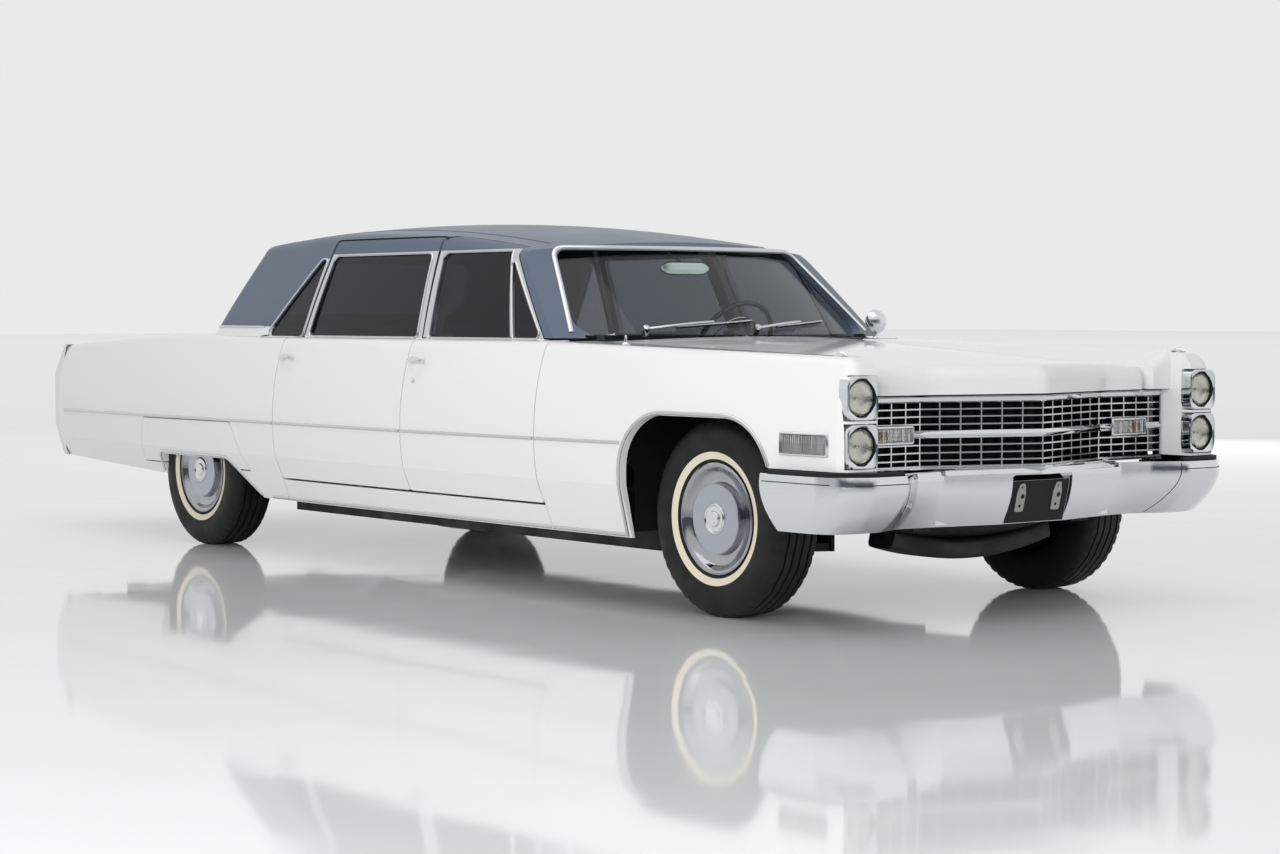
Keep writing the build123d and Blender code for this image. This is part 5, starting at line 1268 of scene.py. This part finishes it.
class LIMOUSINE_OT_engine_bay(LimousineOperator, bpy.types.Operator):
    """Air cleaner, rocker covers, radiator, fan and battery"""
    bl_idname = "limousine.engine_bay"
    bl_label = "Engine bay"

    def build(self, sizes):
        hub = np.array((front(-0.34), 0.0, 0.818))
        pan = [(0.0, 0.0), (0.06, 0.0), (0.065, 0.008), (0.17, 0.012), (0.185, 0.018), (0.188, 0.04),
               (0.182, 0.048), (0.16, 0.051), (0.05, 0.056), (0.012, 0.056), (0.01, 0.066), (0.0, 0.066)]
        piece("air_cleaner", turned(pan, 72, hub, (0, 0, 1), start=(1, 0, 0)), "gloss black tin")
        run = np.linspace(front(-0.66), front(0.0), 30)
        rocker = at(run, 0.20, 0.822)
        ends = np.clip(1 - np.abs(np.linspace(-1, 1, 30)) ** 10, 0.5, 1)
        pair("rocker_cover", swept(rocker, (0, 0.35, 1), plate(0.12, 0.05, 0.018), swell=ends),
             "sprayed engine enamel")
        # Radiator: a black core with fins as a row of ribs, and a bright cap
        y, z = np.linspace(-0.33, 0.33, 133), np.linspace(0.46, 0.80, 8)
        fin = 0.004 * (np.arange(133) % 2)
        core = at(front(0.485) - fin[:, None], y[:, None], z)
        piece("radiator_core", slab(core, core + (0.028, 0, 0)), "gloss black tin", smooth=20)
        tank = at(front(0.495), np.linspace(-0.35, 0.35, 20), 0.806)
        piece("radiator_tank", swept(tank, (0, 0, 1), plate(0.05, 0.026, 0.01)), "gloss black tin")
        cap = [(0.0, 0.0), (0.022, 0.0), (0.028, 0.006), (0.028, 0.012), (0.018, 0.016), (0.0, 0.016)]
        piece("radiator_cap", turned(cap, 32, (front(0.495), 0.22, 0.818), (0, 0, 1), start=(1, 0, 0)),
              "zinc plated steel")
        fan_hub = np.array((front(0.13), 0.0, 0.60))
        disc = [(0.0, -0.04), (0.04, -0.04), (0.045, 0.0), (0.0, 0.004)]
        angle = np.linspace(0, 2 * np.pi, 7)[:-1]
        reach = np.linspace(0.03, 0.20, 8)
        blades = [swept(fan_hub + np.outer(reach, (0, math.cos(a), math.sin(a))),
                        (1, 0.5 * math.sin(a), -0.5 * math.cos(a)),
                        plate(0.08, 0.004, 0.0015)) for a in angle]
        piece("cooling_fan", joined(turned(disc, 32, fan_hub, (1, 0, 0)), *blades), "zinc plated steel")
        box = at(np.linspace(front(0.27), front(0.45), 6), -0.39, 0.62)
        piece("battery", swept(box, (0, 0, 1), plate(0.115, 0.20, 0.008)), "soft black rubber")


class LIMOUSINE_OT_underside(LimousineOperator, bpy.types.Operator):
    """Front cross-member and pan, wheel-house boards, exhaust and silencers"""
    bl_idname = "limousine.underside"
    bl_label = "Underside"

    def build(self, sizes):
        y = np.linspace(-0.40, 0.40, 40)
        drop = 0.285 - 0.055 * (1 - (y / 0.40) ** 2)
        beam = at(front(0.345), y, drop)
        piece("front_cross_member", swept(beam, (0, 0, 1), plate(0.13, 0.075, 0.02)), "satin chassis black")
        x, y = np.linspace(front(0.335), front(0.640), 12), np.linspace(-0.44, 0.44, 20)
        share = np.linspace(0, 1, 12)[:, None]
        level = (1 - share) * (0.305 - 0.055 * (1 - (y / 0.44) ** 2)) + share * 0.372
        pan = at(x[:, None], y, level)
        piece("front_pan", slab(pan + (0, 0, 0.006), pan), "satin chassis black")
        z = np.linspace(0.275, 0.80, 22)[None]
        outer = np.interp(z, (0.5, 0.6), (0.87, 0.955))
        y = 0.60 + np.linspace(0, 1, 10)[:, None] * (outer - 0.60)
        board = at(front(-0.498), y, z)
        pair("wheel_house_board", slab(board + (0.004, 0, 0), board), "soft black rubber", slot="frame_black")
        run = rounded_line([(front(-0.55), 0.40), (front(-0.80), 0.165, 0.15), (rear(0.62), 0.165, 0.2),
                            (rear(0.30), 0.30, 0.15)], step=0.03)
        pipe = at(run[:, 0], 0.27, run[:, 1])
        pair("exhaust_pipe", swept(pipe, (0, 1, 0), rod(0.024, 14)), "zinc plated steel")
        can = at(np.linspace(front(-2.75), front(-2.25), 24), 0.27, 0.168)
        ends = np.clip(1 - np.abs(np.linspace(-1, 1, 24)) ** 8, 0.35, 1)
        pair("silencer", swept(can, (0, 0, 1), rod(0.085, 24, 0.5), swell=ends), "zinc plated steel")


class LIMOUSINE_OT_stage(bpy.types.Operator):
    """Floor, world light, soft boxes and camera"""
    bl_idname = "limousine.stage"
    bl_label = "Stage"

    def execute(self, context):
        scene = context.scene
        stage = scene.limousine_stage
        scene.view_settings.view_transform = "Standard"
        ground = bpy.data.meshes.new("studio_floor")
        reach = 120.0
        ground.from_pydata([(-reach, -reach, 0), (reach, -reach, 0), (reach, reach, 0), (-reach, reach, 0)],
                           [], [(0, 1, 2, 3)])
        floor = bpy.data.objects.new("studio_floor", ground)
        scene.collection.objects.link(floor)
        # Poured floor resin: pale, glossy, with slow ripples
        made = bpy.data.materials.new("poured floor resin")
        made.use_nodes = True
        tree = made.node_tree
        shader = tree.nodes["Principled BSDF"]
        shader.inputs["Base Color"].default_value = stage.floor
        shader.inputs["Roughness"].default_value = 0.06
        place = put(tree, "ShaderNodeTexCoord").outputs["Object"]
        ripple = put(tree, "ShaderNodeTexNoise", {"Scale": 0.9, "Detail": 2.0}, {"Vector": place})
        bump = put(tree, "ShaderNodeBump", {"Strength": 1.0, "Distance": 0.003},
                   {"Height": ripple.outputs["Fac"]})
        tree.links.new(bump.outputs["Normal"], shader.inputs["Normal"])
        ground.materials.append(made)
        world = bpy.data.worlds.new("studio")
        scene.world = world
        world.use_nodes = True
        tree = world.node_tree
        tree.nodes.clear()
        path = put(tree, "ShaderNodeLightPath")
        seen = path.outputs["Is Camera Ray"]
        for extra in ("Is Glossy Ray", "Is Transmission Ray"):
            seen = put(tree, "ShaderNodeMath", None, {0: seen, 1: path.outputs[extra]},
                       operation="MAXIMUM").outputs[0]
        light = put(tree, "ShaderNodeBackground", {"Color": (1, 1, 1, 1), "Strength": stage.world_light})
        # The studio's open end, on the camera's side: a low grey band that only reflections show
        view = put(tree, "ShaderNodeTexCoord").outputs["Generated"]
        side = put(tree, "ShaderNodeVectorMath", {1: (0.72, -0.69, 0.0)}, {0: view},
                   operation="DOT_PRODUCT").outputs["Value"]
        rise = put(tree, "ShaderNodeSeparateXYZ", None, {"Vector": view}).outputs["Z"]
        near = put(tree, "ShaderNodeMapRange", {"From Min": 0.1, "From Max": 0.75},
                   {"Value": side}).outputs["Result"]
        band = put(tree, "ShaderNodeMapRange", {"From Min": 0.22, "From Max": 0.5, "To Min": 1.0,
                                                "To Max": 0.0}, {"Value": rise}).outputs["Result"]
        share = put(tree, "ShaderNodeMath", None, {0: near, 1: band}, operation="MULTIPLY").outputs["Value"]
        share = put(tree, "ShaderNodeMath", None, {0: share, 1: path.outputs["Is Glossy Ray"]},
                    operation="MULTIPLY").outputs["Value"]
        tone = put(tree, "ShaderNodeMix", data_type="RGBA", links={"Factor": share})
        ends = [s for s in tone.inputs if s.type == "RGBA"]
        ends[0].default_value, ends[1].default_value = stage.backdrop, stage.open_end
        shown = [s for s in tone.outputs if s.type == "RGBA"][0]
        back = put(tree, "ShaderNodeBackground", {"Strength": 1.0}, {"Color": shown})
        mix = put(tree, "ShaderNodeMixShader", None, {0: seen, 1: light.outputs[0], 2: back.outputs[0]})
        put(tree, "ShaderNodeOutputWorld", None, {"Surface": mix.outputs[0]})
        box = bpy.data.lights.new("soft_box", "AREA")
        box.shape, box.size, box.size_y, box.energy = "RECTANGLE", 9.0, 5.0, stage.key_watts
        lamp = bpy.data.objects.new("soft_box", box)
        lamp.location = (1.0, -1.5, 6.5)
        lamp.rotation_euler = (math.radians(-8), 0, 0)
        scene.collection.objects.link(lamp)
        for name, spot in (("front_fill", (7.4, -9.0, 2.7)), ("rear_fill", (-7.4, 9.0, 2.7))):
            box = bpy.data.lights.new(name, "AREA")
            box.shape, box.size, box.size_y, box.energy = "RECTANGLE", 7.0, 3.5, stage.fill_watts
            lamp = bpy.data.objects.new(name, box)
            lamp.location = spot
            lamp.visible_glossy = lamp.visible_transmission = lamp.visible_camera = False
            lamp.rotation_euler = (Vector((0, 0, 0.6)) - Vector(spot)).to_track_quat("-Z", "Y").to_euler()
            scene.collection.objects.link(lamp)
        # Camera solved from the wheels and door lines of the photograph, 1280 x 854
        yaw, pitch = math.radians(142.058), math.radians(-2.475)
        focal_px, width_px = 2627.34, 1280
        eye = Vector((front(7.2306), -6.8681, 1.0894))
        look = Vector((math.cos(pitch) * math.cos(yaw), math.cos(pitch) * math.sin(yaw), math.sin(pitch)))
        data = bpy.data.cameras.new("photo_camera")
        data.sensor_width = 36.0
        data.lens = focal_px / width_px * data.sensor_width
        camera = bpy.data.objects.new("photo_camera", data)
        camera.location = eye
        camera.rotation_euler = look.to_track_quat("-Z", "Y").to_euler()
        scene.collection.objects.link(camera)
        scene.camera = camera
        return {"FINISHED"}


STEPS = (LIMOUSINE_OT_finishes, LIMOUSINE_OT_tyres, LIMOUSINE_OT_wheels, LIMOUSINE_OT_headlamps,
         LIMOUSINE_OT_small_lamps, LIMOUSINE_OT_grille, LIMOUSINE_OT_mouldings, LIMOUSINE_OT_windows,
         LIMOUSINE_OT_handles, LIMOUSINE_OT_wipers, LIMOUSINE_OT_mirrors, LIMOUSINE_OT_cabin,
         LIMOUSINE_OT_nose, LIMOUSINE_OT_bumper_trim, LIMOUSINE_OT_roof_trim, LIMOUSINE_OT_tail,
         LIMOUSINE_OT_seats, LIMOUSINE_OT_lining, LIMOUSINE_OT_engine_bay, LIMOUSINE_OT_underside,
         LIMOUSINE_OT_stage)


class LIMOUSINE_PT_sidebar(bpy.types.Panel):
    """Lists the dressing steps and their sizes"""
    bl_idname = "LIMOUSINE_PT_sidebar"
    bl_label = "Limousine"
    bl_space_type = "VIEW_3D"
    bl_region_type = "UI"
    bl_category = "Limousine"

    def draw(self, context):
        for group in (context.scene.limousine_sizes, context.scene.limousine_stage):
            for name in group.__annotations__:
                self.layout.prop(group, name)
        for step in STEPS:
            self.layout.operator(step.bl_idname)


CLASSES = (LimousineSizes, LimousineStage, *STEPS, LIMOUSINE_PT_sidebar)


def register():
    for made in CLASSES:
        bpy.utils.register_class(made)
    bpy.types.Scene.limousine_sizes = PointerProperty(type=LimousineSizes)
    bpy.types.Scene.limousine_stage = PointerProperty(type=LimousineStage)


def unregister():
    del bpy.types.Scene.limousine_stage, bpy.types.Scene.limousine_sizes
    for made in reversed(CLASSES):
        bpy.utils.unregister_class(made)


def main():
    """Registers the add-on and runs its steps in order."""
    register()
    for step in STEPS:
        group, name = step.bl_idname.split(".")
        getattr(getattr(bpy.ops, group), name)()


if __name__ == "__main__":
    main()
